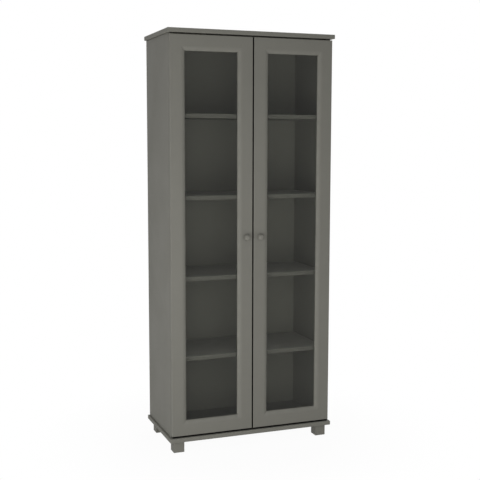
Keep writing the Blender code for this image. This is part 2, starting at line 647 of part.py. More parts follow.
def build_hinge_cup(side, number, z, door):
    name = "hinge_cup_%s_%d" % (side_name(side), number)
    inner = CUP_RADIUS - CUP_WALL
    rim = CUP_RIM_STAND
    floor = -CUP_DEPTH + CUP_WALL
    profile = [(0.0, floor), (inner, floor), (inner, rim), (CUP_RADIUS, rim), (CUP_RADIUS, -CUP_DEPTH),
               (0.0, -CUP_DEPTH)]
    cup_x = across(side, CUP_CENTRE_ACROSS)
    cup = place(name, turned_builder(profile, 32), (cup_x, DOOR_REAR_Y, z), STEEL)
    cup.rotation_euler = (-math.pi / 2, 0.0, 0.0)
    span = sorted((across(side, CUP_CENTRE_ACROSS - CUP_FLANGE_OUTER),
                   across(side, CUP_CENTRE_ACROSS + CUP_FLANGE_INNER)))
    flange = box(name + "_flange", (span[0], DOOR_REAR_Y + SEAM, z - CUP_FLANGE_HALF),
                 (span[1], DOOR_REAR_Y + SEAM + CUP_FLANGE_THICK, z + CUP_FLANGE_HALF), None, CUTTERS)
    mouth = [(inner + 0.4 * CUP_WALL, 8 * CUP_FLANGE_THICK, (cup_x, DOOR_REAR_Y, z), (0, 1, 0))]
    add_boolean(flange, rods(name + "_mouth", mouth, None, CUTTERS, 24), 'DIFFERENCE')
    add_boolean(cup, flange, 'UNION')
    span = sorted((across(side, CUP_CENTRE_ACROSS - 1.1 * CUP_RADIUS),
                   across(side, CUP_CENTRE_ACROSS - CUP_NOTCH_REACH)))
    half = NOSE_HALF_THICK + LINK_CHEEK + CUP_NOTCH_CLEAR
    notch = box(name + "_notch", (span[0], DOOR_REAR_Y - CUP_NOTCH_DEPTH, z - half),
                (span[1], DOOR_REAR_Y + CUP_NOTCH_DEPTH, z + half), None, CUTTERS)
    add_boolean(cup, notch, 'DIFFERENCE')
    span = sorted((across(side, CUP_CENTRE_ACROSS - CUP_RIB_OUTER), across(side, CUP_CENTRE_ACROSS - CUP_RIB_INNER)))
    start = NOSE_HALF_THICK + LINK_CHEEK + 2 * SEAM
    for way, label in ((-1, "lower"), (1, "upper")):
        levels = sorted((z + way * start, z + way * (start + CUP_RIB_THICK)))
        rib = box("%s_%s_rib" % (name, label), (span[0], DOOR_REAR_Y - CUP_DEPTH + 0.5 * CUP_WALL, levels[0]),
                  (span[1], DOOR_REAR_Y - CUP_RIM_STAND, levels[1]), None, CUTTERS)
        add_boolean(cup, rib, 'UNION')
    parent_to(cup, door)


def build_hinges(side, door):
    pivot = pivot_empty("pivot_%s_links" % side_name(side), side, ARM_PIVOT_ACROSS, ARM_PIVOT_BACK)
    for number, z in enumerate(hinge_heights(), start=1):
        build_hinge_arm(side, number, z)
        build_hinge_link(side, number, z, pivot)
        build_hinge_cup(side, number, z, door)


build_boards()
build_feet()
build_sides()
build_back()
build_shelves()
build_shelf_pins()
for door_side in (-1, 1):
    door_pivot = build_door(door_side)
    build_hinges(door_side, door_pivot)
bpy.context.view_layer.update()
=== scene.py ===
import math

import bmesh
import bpy
from bpy.props import FloatProperty, FloatVectorProperty, IntProperty, PointerProperty
from bpy.types import NodeSocket, Operator, Panel, PropertyGroup
from mathutils import Matrix, Vector


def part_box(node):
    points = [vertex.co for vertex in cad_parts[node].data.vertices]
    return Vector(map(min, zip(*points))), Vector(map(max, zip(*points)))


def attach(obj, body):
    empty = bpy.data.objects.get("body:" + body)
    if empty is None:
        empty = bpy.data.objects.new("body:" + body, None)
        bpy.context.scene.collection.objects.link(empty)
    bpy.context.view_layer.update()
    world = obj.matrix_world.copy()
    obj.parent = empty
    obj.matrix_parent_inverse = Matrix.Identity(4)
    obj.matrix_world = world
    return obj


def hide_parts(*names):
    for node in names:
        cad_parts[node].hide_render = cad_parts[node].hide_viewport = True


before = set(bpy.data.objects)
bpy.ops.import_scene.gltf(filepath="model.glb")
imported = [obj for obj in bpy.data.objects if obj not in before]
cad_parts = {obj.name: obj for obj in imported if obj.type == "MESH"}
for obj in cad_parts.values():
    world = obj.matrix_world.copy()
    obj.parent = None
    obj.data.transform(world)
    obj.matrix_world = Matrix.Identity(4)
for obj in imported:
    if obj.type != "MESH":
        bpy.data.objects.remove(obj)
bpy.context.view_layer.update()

bl_info = {
    "name": "Glazed Display Cabinet",
    "version": (1, 0, 0),
    "blender": (4, 5, 0),
    "location": "3D View > Sidebar > Cabinet",
    "description": "Finishes a tall glazed cabinet: painted boards, framed doors, glass and fittings",
    "category": "Object",
}

SIDES = ("left", "right")
WAYS = (-1.0, 1.0)
RIGHT = Vector((1.0, 0.0, 0.0))
BACK = Vector((0.0, 1.0, 0.0))
UP = Vector((0.0, 0.0, 1.0))
MERGE = 0.00002

# Names of the mesh attributes
EDGE_MASK = "edge"
FACING = "facing"

# A face is part of an edge when no part of its normal passes EDGE_FLAT, fully so EDGE_FADE below that
EDGE_FLAT = 0.995
EDGE_FADE = 0.15

# Angles between faces, in degrees, past which an edge stays sharp
SHARP = 35.0
SHARP_GLASS = 20.0
SHARP_MEMBER = 30.0
SHARP_HINGE = 40.0
SHARP_KNOB = 50.0

# Where most of a noise pattern's values lie
NOISE_LOW = 0.30
NOISE_HIGH = 0.70

# Profiles: a share of the radius and a share of the height for each point
SCREW_PROFILE = ((0.0, -0.6), (0.45, -0.6), (0.45, 0.0), (0.97, 0.0), (1.0, 0.05), (0.98, 0.20), (0.86, 0.36),
                 (0.60, 0.47), (0.30, 0.52), (0.0, 0.53))
BRAD_PROFILE = ((0.0, -1.7), (0.42, -1.7), (0.42, 0.0), (0.92, 0.0), (1.0, 0.17), (0.75, 0.38), (0.0, 0.42))
GLIDE_PROFILE = ((0.0, 0.0), (0.80, 0.0), (0.93, 0.25), (1.0, 0.7), (1.0, 1.5), (0.0, 1.5))
KNOB_NECK = ((1.35, 0.0), (1.35, 0.06), (1.05, 0.13), (1.0, 0.20), (1.05, 0.26))
KNOB_HEAD = ((0.62, 0.34), (0.90, 0.42), (1.0, 0.51), (0.97, 0.61), (0.88, 0.73), (0.75, 0.85), (0.62, 0.935),
             (0.48, 0.977), (0.26, 0.994), (0.0, 1.0))
# The moulding: a share of its width and a share of its depth for each point
MOULDING = ((0.20, 0.085), (0.40, 0.19), (0.60, 0.35), (0.75, 0.51), (0.88, 0.72), (1.0, 1.0))
CURVE_STEPS = 4

# The cross recess of a screw: length, width, depth and height of its middle as shares of the head's radius
RECESS_SIZE = (1.1, 0.2, 0.5)
RECESS_HEIGHT = 0.55
# Each screw is turned by chance up to this angle in radians
SCREW_TURN = 3.0
# Hinge screws: their scale, and their places as shares of half a cup's height and of an arm's length
CUP_SCREW_SCALE = 0.9
CUP_SCREW_SHARE = 0.83
ARM_SCREW_SCALE = 0.85
ARM_SCREW_SHARES = (0.18, 0.62)


def srgb(red, green, blue):
    """A screen colour from 0 to 255 as the linear values that shaders take."""
    channels = []
    for value in (red, green, blue):
        value = value / 255.0
        if value <= 0.04045:
            channels.append(value / 12.92)
        else:
            channels.append(((value + 0.055) / 1.055) ** 2.4)
    return tuple(channels)


def user_number(name, description, default, **kind):
    """A number that a user can set."""
    return FloatProperty(name=name, description=description, default=default, **kind)


def user_size(name, description, default):
    """A length in metres that a user can set."""
    return user_number(name, description, default, min=0.0, precision=5, unit='LENGTH')


def user_colour(name, description, default):
    """A colour that a user can set."""
    return FloatVectorProperty(name=name, description=description, default=default, size=3,
                               min=0.0, max=1.0, subtype='COLOR')


def user_place(name, description, default):
    """A place that a user can set."""
    return FloatVectorProperty(name=name, description=description, default=default, size=3,
                               subtype='TRANSLATION')


class CabinetSizes(PropertyGroup):
    """Sizes of the finished pieces"""
    board_round: user_size("Board rounding", "Radius along the edges of the top and base boards", 0.0025)
    shelf_round: user_size("Shelf rounding", "Radius along the edges of a shelf", 0.0012)
    foot_round: user_size("Foot rounding", "Radius along the edges of a foot", 0.0012)
    glide_radius: user_size("Glide radius", "Radius of the plastic glide under a foot", 0.0125)
    glide_thick: user_size("Glide thickness", "How far the glide lifts the foot off the floor", 0.0014)
    frame_width: user_size("Frame width", "Width of a door frame member, moulding included", 0.070)
    moulding_width: user_size("Moulding width", "Width of the moulded inner edge of a door frame", 0.0195)
    moulding_depth: user_size("Moulding depth", "How far the moulded edge falls towards the glass", 0.0106)
    rebate_width: user_size("Rebate width", "Width of the rebate that holds the glass", 0.008)
    lip_rear: user_size("Lip depth", "Depth from the door's front to the glass side of the lip", 0.0115)
    door_round: user_size("Door rounding", "Radius along the outer front edges of a door", 0.0025)
    door_rear_chamfer: user_size("Rear chamfer", "Chamfer along the outer rear edges of a door", 0.0015)
    mitre_gap: user_size("Mitre gap", "Hairline left between two mitred members", 0.00004)
    # The seals below are black strips that paint shade into the door gaps.
    seal_thick: user_size("Seal thickness", "How far the dust seal stands off a door's meeting edge", 0.0008)
    seal_round: user_size("Seal rounding", "Radius along the edges of a seal", 0.00032)
    seal_margin: user_size("Seal margin", "Painted edge left at the front and rear of a dust seal", 0.0026)
    shade_brush_reach: user_size("Brush reach", "How far the brush seal hangs below a door", 0.0072)
    shade_brush_strip: user_size("Brush strip", "Height of a brush seal's backing strip", 0.00144)
    shade_brush_root: user_size("Brush root", "How far the pile goes up into its backing strip", 0.000216)
    shade_brush_backing: user_size("Brush backing", "Depth of a brush seal's backing strip", 0.0060)
    shade_brush_pile: user_size("Brush pile", "Depth of a brush seal's pile", 0.0036)
    shade_brush_inset: user_size("Brush inset", "How far the pile stands behind the front of its backing", 0.0006)
    glass_arris: user_size("Glass arris", "Ground chamfer along the edges of a pane", 0.0006)
    knob_radius: user_size("Knob radius", "Largest radius of a knob", 0.0152)
    knob_neck: user_size("Knob neck", "Radius of a knob's neck", 0.0070)
    knob_screw_radius: user_size("Knob screw radius", "Radius of the head of a knob's screw", 0.0042)
    pin_reach: user_size("Pin reach", "How far a shelf pin stands out of the side panel", 0.010)
    pin_plug: user_size("Pin plug", "Length of a shelf pin inside its hole", 0.004)
    pin_seat: user_size("Pin seat", "Gap between the side panel and a shelf pin's collar", 0.0002)
    pin_collar: user_size("Pin collar", "Thickness of a shelf pin's collar", 0.0012)
    sleeve_radius: user_size("Sleeve radius", "Outer radius of a shelf pin hole's sleeve", 0.0036)
    sleeve_bore: user_size("Sleeve bore", "Inner radius of a shelf pin hole's sleeve", 0.0023)
    sleeve_lip: user_size("Sleeve lip", "How far a sleeve stands off the panel", 0.0004)
    pin_pitch: user_size("Pin hole pitch", "Height from one shelf pin hole to the next", 0.032)
    pin_rows: IntProperty(name="Pin hole rows", description="Holes in each group", default=5, min=1)
    brad_spacing: user_size("Brad spacing", "Distance between the brads in a glass retainer", 0.145)
    brad_radius: user_size("Brad radius", "Radius of the head of a brad in a glass retainer", 0.0012)
    brad_inset: user_size("Brad inset", "From the outer edge of a glass retainer to its brads", 0.0036)
    nail_spacing: user_size("Nail spacing", "Between the nails from the back into the fixed shelf", 0.09)
    nail_radius: user_size("Nail radius", "Radius of the head of a nail in the back panel", 0.0026)
    base_screw_radius: user_size("Base screw radius", "Radius of a screw head under the base board", 0.0046)
    base_screw_inset: user_size("Base screw inset", "From a side panel's edges to the base screws", 0.10)
    screw_radius: user_size("Screw radius", "Radius of a hinge screw's head", 0.0038)
    hinge_ease: user_size("Hinge easing", "Width of the eased edges of a hinge's pieces", 0.00015)
    plate_thick: user_size("Hinge plate thickness", "How far a hinge plate stands off the side panel", 0.0035)
    plate_screw_spacing: user_size("Plate screw spacing", "Between the two screws of a hinge plate", 0.036)
    plate_screw_inset: user_size("Plate screw inset", "From a hinge arm's rear to its plate's screws", 0.030)
    arm_height: user_size("Hinge arm height", "How far a hinge arm stands off the side panel", 0.013)
    arm_length: user_size("Hinge arm length", "Length of a hinge arm", 0.066)


class CabinetColours(PropertyGroup):
    """Colours of the finishes"""
    paint: user_colour("Paint", "Satin grey paint", srgb(113, 112, 105))
    # The veil colour is paler than the paint: dust, and on the shelves painted light on their tops.
    dust: user_colour("Dust", "Dust that settles on faces that look up", (0.42, 0.41, 0.38))
    # Paler than the paint: painted light on the back panel's face.
    backing: user_colour("Backing", "Face of the back panel, paler than the paint", srgb(126, 125, 117))
    raw_board: user_colour("Raw board", "Bare fibreboard on the rear of the back panel", srgb(150, 130, 104))
    glass: user_colour("Glass", "Tint of the glass", (0.69, 0.70, 0.675))
    gloss: user_colour("Glass gloss", "How strongly the glass mirrors", (0.28, 0.28, 0.28))
    steel: user_colour("Steel", "Nickel plated steel", srgb(196, 194, 188))
    plastic: user_colour("Plastic", "Moulded grey plastic", srgb(112, 111, 105))
    glide: user_colour("Glide", "Dark plastic glides under the feet", srgb(52, 51, 48))
    # Near black: the seals paint shade into the door gaps.
    seal: user_colour("Seal", "Flocked dust seals of the doors", srgb(12, 12, 11))
    floor: user_colour("Floor", "Pale studio floor", (0.86, 0.86, 0.85))


class CabinetStudio(PropertyGroup):
    """Camera and light"""
    camera_place: user_place("Camera place", "Where the camera stands", (-1.4902, -3.9803, 1.4165))
    camera_yaw: user_number("Camera yaw", "Turn from +Y towards +X", 0.3593, subtype='ANGLE')
    camera_pitch: user_number("Camera pitch", "Tilt above the horizon", -0.1105, subtype='ANGLE')
    camera_roll: user_number("Camera roll", "Turn about the line of sight", 0.0015, subtype='ANGLE')
    camera_lens: user_number("Lens", "Focal length in millimetres", 67.379, subtype='DISTANCE_CAMERA')
    camera_sensor: user_number("Sensor", "Sensor width in millimetres", 36.0, subtype='DISTANCE_CAMERA')
    camera_sight: user_size("Sight", "How far the camera sees", 200.0)
    key_place: user_place("Key light place", "Middle of the key light", (-0.65, -2.40, 0.85))
    key_power: user_number("Key light power", "Power of the key light", 20.5, unit='POWER')
    side_place: user_place("Side light place", "Middle of the side light", (-1.95, -1.56, 0.25))
    side_power: user_number("Side light power", "Power of the side light", 32.0, unit='POWER')
    rear_place: user_place("Rear light place", "Middle of the rear light", (1.60, 2.80, 2.20))
    rear_power: user_number("Rear light power", "Power of the rear light", 30.0, unit='POWER')
    light_width: user_size("Light width", "Width of each soft light", 1.4)
    light_height: user_size("Light height", "Height of each soft light", 1.7)
    light_target: user_place("Light target", "Point that the lights face", (0.0, 0.0, 0.95))
    fill_level: user_number("Fill level", "Strength of the light from all round", 0.37)
    floor_reach: user_size("Floor reach", "Half the width of the floor", 40.0)
    shadow_share: user_number("Floor shadow", "How much shadow the floor shows", 0.04, subtype='FACTOR')
    shadow_start: user_size("Shadow start", "Where the shown shadow begins to fade", 0.35)
    shadow_end: user_size("Shadow end", "Where the shown shadow has faded out", 1.1)


# Node helpers
def connect(tree, socket, value):
    """Link an output to a socket, or set the socket to a plain value."""
    if isinstance(value, NodeSocket):
        tree.links.new(value, socket)
    else:
        socket.default_value = value


def feed(tree, node, **inputs):
    """Connect a node's inputs by name, with an underscore for each space."""
    for key, value in inputs.items():
        connect(tree, node.inputs[key.replace("_", " ")], value)


def connect_all(tree, node, *values):
    """Connect a node's inputs in order."""
    for socket, value in zip(node.inputs, values):
        connect(tree, socket, value)


def add_node(tree, kind, settings=None, **inputs):
    """Add a node with its settings by name, feed its inputs and give its outputs."""
    node = tree.nodes.new(kind)
    for key, value in (settings or {}).items():
        setattr(node, key, value)
    feed(tree, node, **inputs)
    return node.outputs


def node_group(name):
    """A node group by name, built when it is first asked for."""
    if name not in bpy.data.node_groups:
        NODE_GROUPS[name](name)
    return bpy.data.node_groups[name]


def object_place(tree):
    """The place of a point in its object."""
    return add_node(tree, 'ShaderNodeTexCoord')['Object']


def separate(tree, vector):
    """The X, Y and Z outputs of a vector."""
    return add_node(tree, 'ShaderNodeSeparateXYZ', Vector=vector)


def noise(tree, place, scale, detail, stretch=None):
    """A noise pattern, stretched along an axis where a finish has a direction."""
    if stretch is not None:
        place = add_node(tree, 'ShaderNodeMapping', Vector=place, Scale=stretch)['Vector']
    return add_node(tree, 'ShaderNodeTexNoise', Vector=place, Scale=scale, Detail=detail)['Fac']


def math_node(tree, operation, *values):
    """A sum, product or the like of numbers and outputs."""
    node = tree.nodes.new('ShaderNodeMath')
    node.operation = operation
    connect_all(tree, node, *values)
    return node.outputs['Value']


def spread(tree, value, low, high):
    """Stretch a noise pattern onto a range."""
    return add_node(tree, 'ShaderNodeMapRange', Value=value, From_Min=NOISE_LOW, From_Max=NOISE_HIGH,
                    To_Min=low, To_Max=high)['Result']


def scaled_colour(tree, colour, factor):
    """A colour made lighter or darker by a factor."""
    return add_node(tree, 'ShaderNodeVectorMath', {"operation": 'SCALE'}, Vector=colour,
                    Scale=factor)['Vector']


def mixed_colour(tree, factor, first, second):
    """A colour between two."""
    return add_node(tree, 'ShaderNodeMix', {"data_type": 'RGBA'}, Factor=factor, A=first, B=second)['Result']


def bump(tree, height, distance, strength):
    """A normal that follows a height."""
    return add_node(tree, 'ShaderNodeBump', Height=height, Distance=distance, Strength=strength)['Normal']


def show_mix(tree, leave, factor, first, second):
    """Lead a mix of two shaders to an output node."""
    mix = tree.nodes.new('ShaderNodeMixShader')
    connect_all(tree, mix, factor, first, second)
    feed(tree, leave, Surface=mix.outputs['Shader'])


def ray_is_seen(tree):
    """One for the rays that look at the background: from the camera, in gloss or through glass."""
    path = add_node(tree, 'ShaderNodeLightPath')
    seen = math_node(tree, 'MAXIMUM', path['Is Camera Ray'], path['Is Glossy Ray'])
    return math_node(tree, 'MAXIMUM', seen, path['Is Transmission Ray'])


# Shader groups
def shader_group(name, inputs, outputs):
    """A shader node group with named sockets: Color is a colour and the others are numbers."""
    group = bpy.data.node_groups.new(name, 'ShaderNodeTree')
    for way, labels in (('INPUT', inputs), ('OUTPUT', outputs)):
        for label in labels:
            kind = 'NodeSocketColor' if label == "Color" else 'NodeSocketFloat'
            group.interface.new_socket(label, in_out=way, socket_type=kind)
    return group, add_node(group, 'NodeGroupInput'), group.nodes.new('NodeGroupOutput')


def use_group(tree, name, **inputs):
    """Place a node group in a material and give its outputs."""
    return add_node(tree, 'ShaderNodeGroup', {"node_tree": node_group(name)}, **inputs)


def paint_film_group(name):
    """Sprayed satin film: slow tone drift, faint mottling, orange peel and an uneven sheen."""
    tree, entry, leave = shader_group(name, ("Color", "Drift", "Sheen", "Peel Scale"),
                                      ("Color", "Roughness", "Height"))
    place = object_place(tree)
    low = math_node(tree, 'SUBTRACT', 1.0, entry['Drift'])
    high = math_node(tree, 'ADD', 1.0, entry['Drift'])
    slow = spread(tree, noise(tree, place, scale=1.7, detail=2.0), low, high)
    mottle = spread(tree, noise(tree, place, scale=23.0, detail=4.0), low=0.985, high=1.015)
    tone = math_node(tree, 'MULTIPLY', slow, mottle)
    patches = spread(tree, noise(tree, place, scale=6.0, detail=3.0), low=-0.045, high=0.045)
    peel = noise(tree, place, scale=entry['Peel Scale'], detail=1.5)
    broad = noise(tree, place, scale=95.0, detail=2.0)
    broad_share = 1.6
    feed(tree, leave, Color=scaled_colour(tree, entry['Color'], tone),
         Roughness=math_node(tree, 'ADD', entry['Sheen'], patches),
         Height=math_node(tree, 'MULTIPLY_ADD', broad, broad_share, peel))


def edge_rub_and_highlight_group(name):
    """Edges lightened as worn arrises and as a painted highlight, and faint touch marks, from the edge mask
    that each piece carries.
    """
    tree, entry, leave = shader_group(name, ("Color", "Roughness", "Rub", "Polish"), ("Color", "Roughness"))
    place = object_place(tree)
    mask = add_node(tree, 'ShaderNodeAttribute', {"attribute_name": EDGE_MASK})['Fac']
    broken = spread(tree, noise(tree, place, scale=38.0, detail=5.0), low=0.15, high=1.0)
    edge = math_node(tree, 'MULTIPLY', mask, broken)
    # Lightens the edges: wear, and a painted highlight.
    lift = math_node(tree, 'MULTIPLY_ADD', edge, entry['Rub'], 1.0)
    marks = spread(tree, noise(tree, place, scale=11.0, detail=6.0), low=0.0, high=0.5)
    gloss = math_node(tree, 'MULTIPLY', math_node(tree, 'ADD', edge, marks), entry['Polish'])
    feed(tree, leave, Color=scaled_colour(tree, entry['Color'], lift),
         Roughness=math_node(tree, 'SUBTRACT', entry['Roughness'], gloss))


def dust_and_top_light_group(name):
    """A pale veil on faces that look up: thin dust, and where the amount is high, painted light on the tops.
    """
    tree, entry, leave = shader_group(name, ("Color", "Roughness", "Amount"), ("Color", "Roughness"))
    normal = add_node(tree, 'ShaderNodeNewGeometry')['Normal']
    upward = math_node(tree, 'MAXIMUM', separate(tree, normal)['Z'], 0.0)
    patchy = spread(tree, noise(tree, object_place(tree), scale=18.0, detail=6.0), low=0.80, high=1.0)
    veil = math_node(tree, 'MULTIPLY', math_node(tree, 'MULTIPLY', upward, patchy), entry['Amount'])
    # Pale veil colour: dust, and painted light where the amount is high.
    dust = opaque(colour_of("dust"))
    dullness = 1.5
    feed(tree, leave, Color=mixed_colour(tree, veil, entry['Color'], dust),
         Roughness=math_node(tree, 'MULTIPLY_ADD', veil, dullness, entry['Roughness']))


# Finishes
def colour_of(part):
    """A finish's colour by name."""
    return tuple(getattr(bpy.context.scene.cabinet_colours, part))


def finish(name):
    """A finish by name, made when it is first asked for."""
    if name not in bpy.data.materials:
        FINISHES[name](name)
    return bpy.data.materials[name]


def new_material(name):
    """A material's node tree and its shader."""
    material = bpy.data.materials.new(name)
    material.use_nodes = True
    return material.node_tree, material.node_tree.nodes['Principled BSDF']


def opaque(colour):
    """A colour with full alpha."""
    return (*colour, 1.0)


def rubbed_and_highlit_film(tree, colour, drift, sheen, peel, rub, polish):
    """A film of colour whose edges are lightened, as wear and as a painted highlight: the rubbed film's
    outputs, and the film's height.
    """
    film = use_group(tree, "paint_film", Color=opaque(colour), Drift=drift, Sheen=sheen, Peel_Scale=peel)
    touch = use_group(tree, "handling", Color=film['Color'], Roughness=film['Roughness'], Rub=rub,
                      Polish=polish)
    return touch, film['Height']


def paint_finish(name, dust_and_top_light_amount=0.03, tone=1.0):
    """Warm grey satin paint on board."""
    tree, shader = new_material(name)
    # A tone below one darkens a copy of the paint: painted shade on the shelves.
    colour = [channel * tone for channel in colour_of("paint")]
    # The paint's edges are lightened: mostly a painted highlight along the arrises, a little wear.
    touch, height = rubbed_and_highlit_film(tree, colour, drift=0.022, sheen=0.66, peel=640.0, rub=0.16, polish=0.05)
    # A pale veil on faces that look up: a little dust here, and on the shelves painted light on their tops.
    dust = use_group(tree, "settled_dust", Color=touch['Color'], Roughness=touch['Roughness'],
                     Amount=dust_and_top_light_amount)
    feed(tree, shader, Base_Color=dust['Color'], Roughness=dust['Roughness'], Specular_IOR_Level=0.25,
         Normal=bump(tree, height, distance=0.00006, strength=0.35))


def shelf_finish(name):
    """The same paint, darker as painted shade, with a heavy pale veil that is painted light on the shelf tops
    as well as dust.
    """
    paint_finish(name, dust_and_top_light_amount=0.85, tone=0.88)


def back_panel_finish(name):
    """Thin fibreboard: painted on the inside in a colour paler than the paint, which is painted light, and
    bare with a pressed mesh grain on the rear.
    """
    tree, shader = new_material(name)
    low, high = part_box("back_panel")
    place = object_place(tree)
    parts = separate(tree, place)
    rear = math_node(tree, 'GREATER_THAN', parts['Y'], (low.y + high.y) / 2)
    film = use_group(tree, "paint_film", Color=opaque(colour_of("backing")), Drift=0.03, Sheen=0.62,
                     Peel_Scale=520.0)
    strands = noise(tree, place, scale=70.0, detail=6.0, stretch=(1.0, 1.0, 0.22))
    fibres = spread(tree, strands, low=0.90, high=1.09)
    clouds = spread(tree, noise(tree, place, scale=5.0, detail=3.0), low=0.93, high=1.07)
    raw = scaled_colour(tree, colour_of("raw_board"), math_node(tree, 'MULTIPLY', fibres, clouds))
    colour = mixed_colour(tree, rear, film['Color'], raw)
    dust = use_group(tree, "settled_dust", Color=colour, Roughness=film['Roughness'], Amount=0.05)
    raw_roughness = 0.30
    mesh_pitch = 0.0016
    mesh_share = 1.5
    waves = []
    for axis in ('X', 'Z'):
        turns = math_node(tree, 'MULTIPLY', parts[axis], 2.0 * math.pi / mesh_pitch)
        waves.append(math_node(tree, 'SINE', turns))
    grain = math_node(tree, 'MULTIPLY', math_node(tree, 'MULTIPLY', *waves), rear)
    height = math_node(tree, 'MULTIPLY_ADD', grain, mesh_share, film['Height'])
    feed(tree, shader, Base_Color=dust['Color'], Specular_IOR_Level=0.25,
         Roughness=math_node(tree, 'MULTIPLY_ADD', rear, raw_roughness, dust['Roughness']),
         Normal=bump(tree, height, distance=0.00008, strength=0.4))


def glass_finish(name):
    """Lightly tinted float glass that lets light through to the shelves."""
    tree, shader = new_material(name)
    tint = colour_of("glass")
    place = object_place(tree)
    drawn = noise(tree, place, scale=2.4, detail=3.0, stretch=(1.0, 1.0, 0.35))
    streaks = spread(tree, drawn, low=0.985, high=1.015)
    smears = spread(tree, noise(tree, place, scale=7.0, detail=6.0), low=0.0, high=0.02)
    ripple = noise(tree, place, scale=3.2, detail=1.0)
    feed(tree, shader, Transmission_Weight=1.0, Metallic=0.0, IOR=1.47, Roughness=smears,
         Specular_Tint=opaque(colour_of("gloss")), Base_Color=scaled_colour(tree, tint, streaks),
         Normal=bump(tree, ripple, distance=0.0002, strength=0.05))
    path = add_node(tree, 'ShaderNodeLightPath')
    through = math_node(tree, 'MAXIMUM', path['Is Shadow Ray'], path['Is Diffuse Ray'])
    clear = add_node(tree, 'ShaderNodeBsdfTransparent', Color=opaque([channel ** 0.5 for channel in tint]))
    show_mix(tree, tree.nodes['Material Output'], through, shader.outputs['BSDF'], clear['BSDF'])


def steel_finish(name):
    """Nickel plated pressed steel."""
    tree, shader = new_material(name)
    drawn = noise(tree, object_place(tree), scale=900.0, detail=3.0, stretch=(1.0, 0.12, 1.0))
    touch = rubbed_and_highlit_film(tree, colour_of("steel"), drift=0.05, sheen=0.30, peel=1500.0, rub=0.10,
                         polish=0.10)[0]
    rough = math_node(tree, 'ADD', touch['Roughness'], spread(tree, drawn, low=-0.06, high=0.06))
    feed(tree, shader, Metallic=1.0, Base_Color=touch['Color'], Roughness=rough,
         Normal=bump(tree, drawn, distance=0.00003, strength=0.3))


def plastic_finish(name, colour, sheen, gloss=0.5):
    """Moulded plastic with a fine spark-eroded grain."""
    tree, shader = new_material(name)
    touch, height = rubbed_and_highlit_film(tree, colour, drift=0.03, sheen=sheen, peel=2100.0, rub=0.08, polish=0.06)
    feed(tree, shader, Base_Color=touch['Color'], Roughness=touch['Roughness'], Specular_IOR_Level=gloss,
         Normal=bump(tree, height, distance=0.00005, strength=0.4))


def grey_plastic(name):
    """Grey plastic of the shelf pins and glass retainers."""
    plastic_finish(name, colour_of("plastic"), sheen=0.50)


def glide_plastic(name):
    """Dark plastic of the glides."""
    plastic_finish(name, colour_of("glide"), sheen=0.65)


def seal_flock(name):
    """Black flock that hardly shines: painted shade in the door gaps."""
    plastic_finish(name, colour_of("seal"), sheen=0.90, gloss=0.05)


def floor_finish(name):
    """A pale floor that shows as white, apart from a share of the shadow near the object."""
    tree, shader = new_material(name)
    studio = bpy.context.scene.cabinet_studio
    feed(tree, shader, Base_Color=opaque(colour_of("floor")), Roughness=0.9, Specular_IOR_Level=0.0)
    glow = add_node(tree, 'ShaderNodeEmission', Strength=1.0)['Emission']
    away = add_node(tree, 'ShaderNodeVectorMath', {"operation": 'LENGTH'}, Vector=object_place(tree))['Value']
    near = add_node(tree, 'ShaderNodeMapRange', {"interpolation_type": 'SMOOTHSTEP'}, Value=away,
                    From_Min=studio.shadow_start, From_Max=studio.shadow_end,
                    To_Min=studio.shadow_share, To_Max=0.0)['Result']
    white = math_node(tree, 'MULTIPLY', ray_is_seen(tree), math_node(tree, 'SUBTRACT', 1.0, near))
    show_mix(tree, tree.nodes['Material Output'], white, shader.outputs['BSDF'], glow)


FINISHES = {"grey_satin_paint": paint_finish, "grey_shelf_paint": shelf_finish, "float_glass": glass_finish,
            "back_panel_board": back_panel_finish, "nickel_steel": steel_finish, "seal_flock": seal_flock,
            "grey_plastic": grey_plastic, "glide_plastic": glide_plastic, "pale_floor": floor_finish}


# Mesh building
def ease(builder, edges, width, segments):
    """Round a mesh's edges."""
    bmesh.ops.bevel(builder, geom=edges, offset=width, offset_type='OFFSET', segments=segments, profile=0.5,
                    affect='EDGES', clamp_overlap=True)


def rounded_block(builder, low, high, radius, segments=4):
    """Add a block between two corners with rounded edges."""
    size = Vector(high) - Vector(low)
    middle = (Vector(high) + Vector(low)) / 2
    spot = Matrix.Translation(middle) @ Matrix.Diagonal((*size, 1.0))
    made = bmesh.ops.create_cube(builder, size=1.0, matrix=spot)
    ease(builder, list({edge for vert in made['verts'] for edge in vert.link_edges}), radius, segments)


def scaled(profile, radius, height):
    """A profile of shares as real sizes."""
    return [(across * radius, along * height) for across, along in profile]


def turned(builder, profile, segments, spot=Matrix.Identity(4)):
    """Add a solid turned about Z from (radius, z) points that start and end on the axis."""
    rings = []
    for radius, z in profile:
        if radius < MERGE:
            rings.append([builder.verts.new(spot @ Vector((0.0, 0.0, z)))])
            continue
        ring = []
        for i in range(segments):
            angle = 2.0 * math.pi * i / segments
            point = Vector((radius * math.cos(angle), radius * math.sin(angle), z))
            ring.append(builder.verts.new(spot @ point))
        rings.append(ring)
    for first, second in zip(rings, rings[1:]):
        for i in range(segments):
            j = (i + 1) % segments
            if len(first) == 1:
                builder.faces.new((first[0], second[i], second[j]))
            elif len(second) == 1:
                builder.faces.new((first[i], second[0], first[j]))
            else:
                builder.faces.new((first[i], second[i], second[j], first[j]))


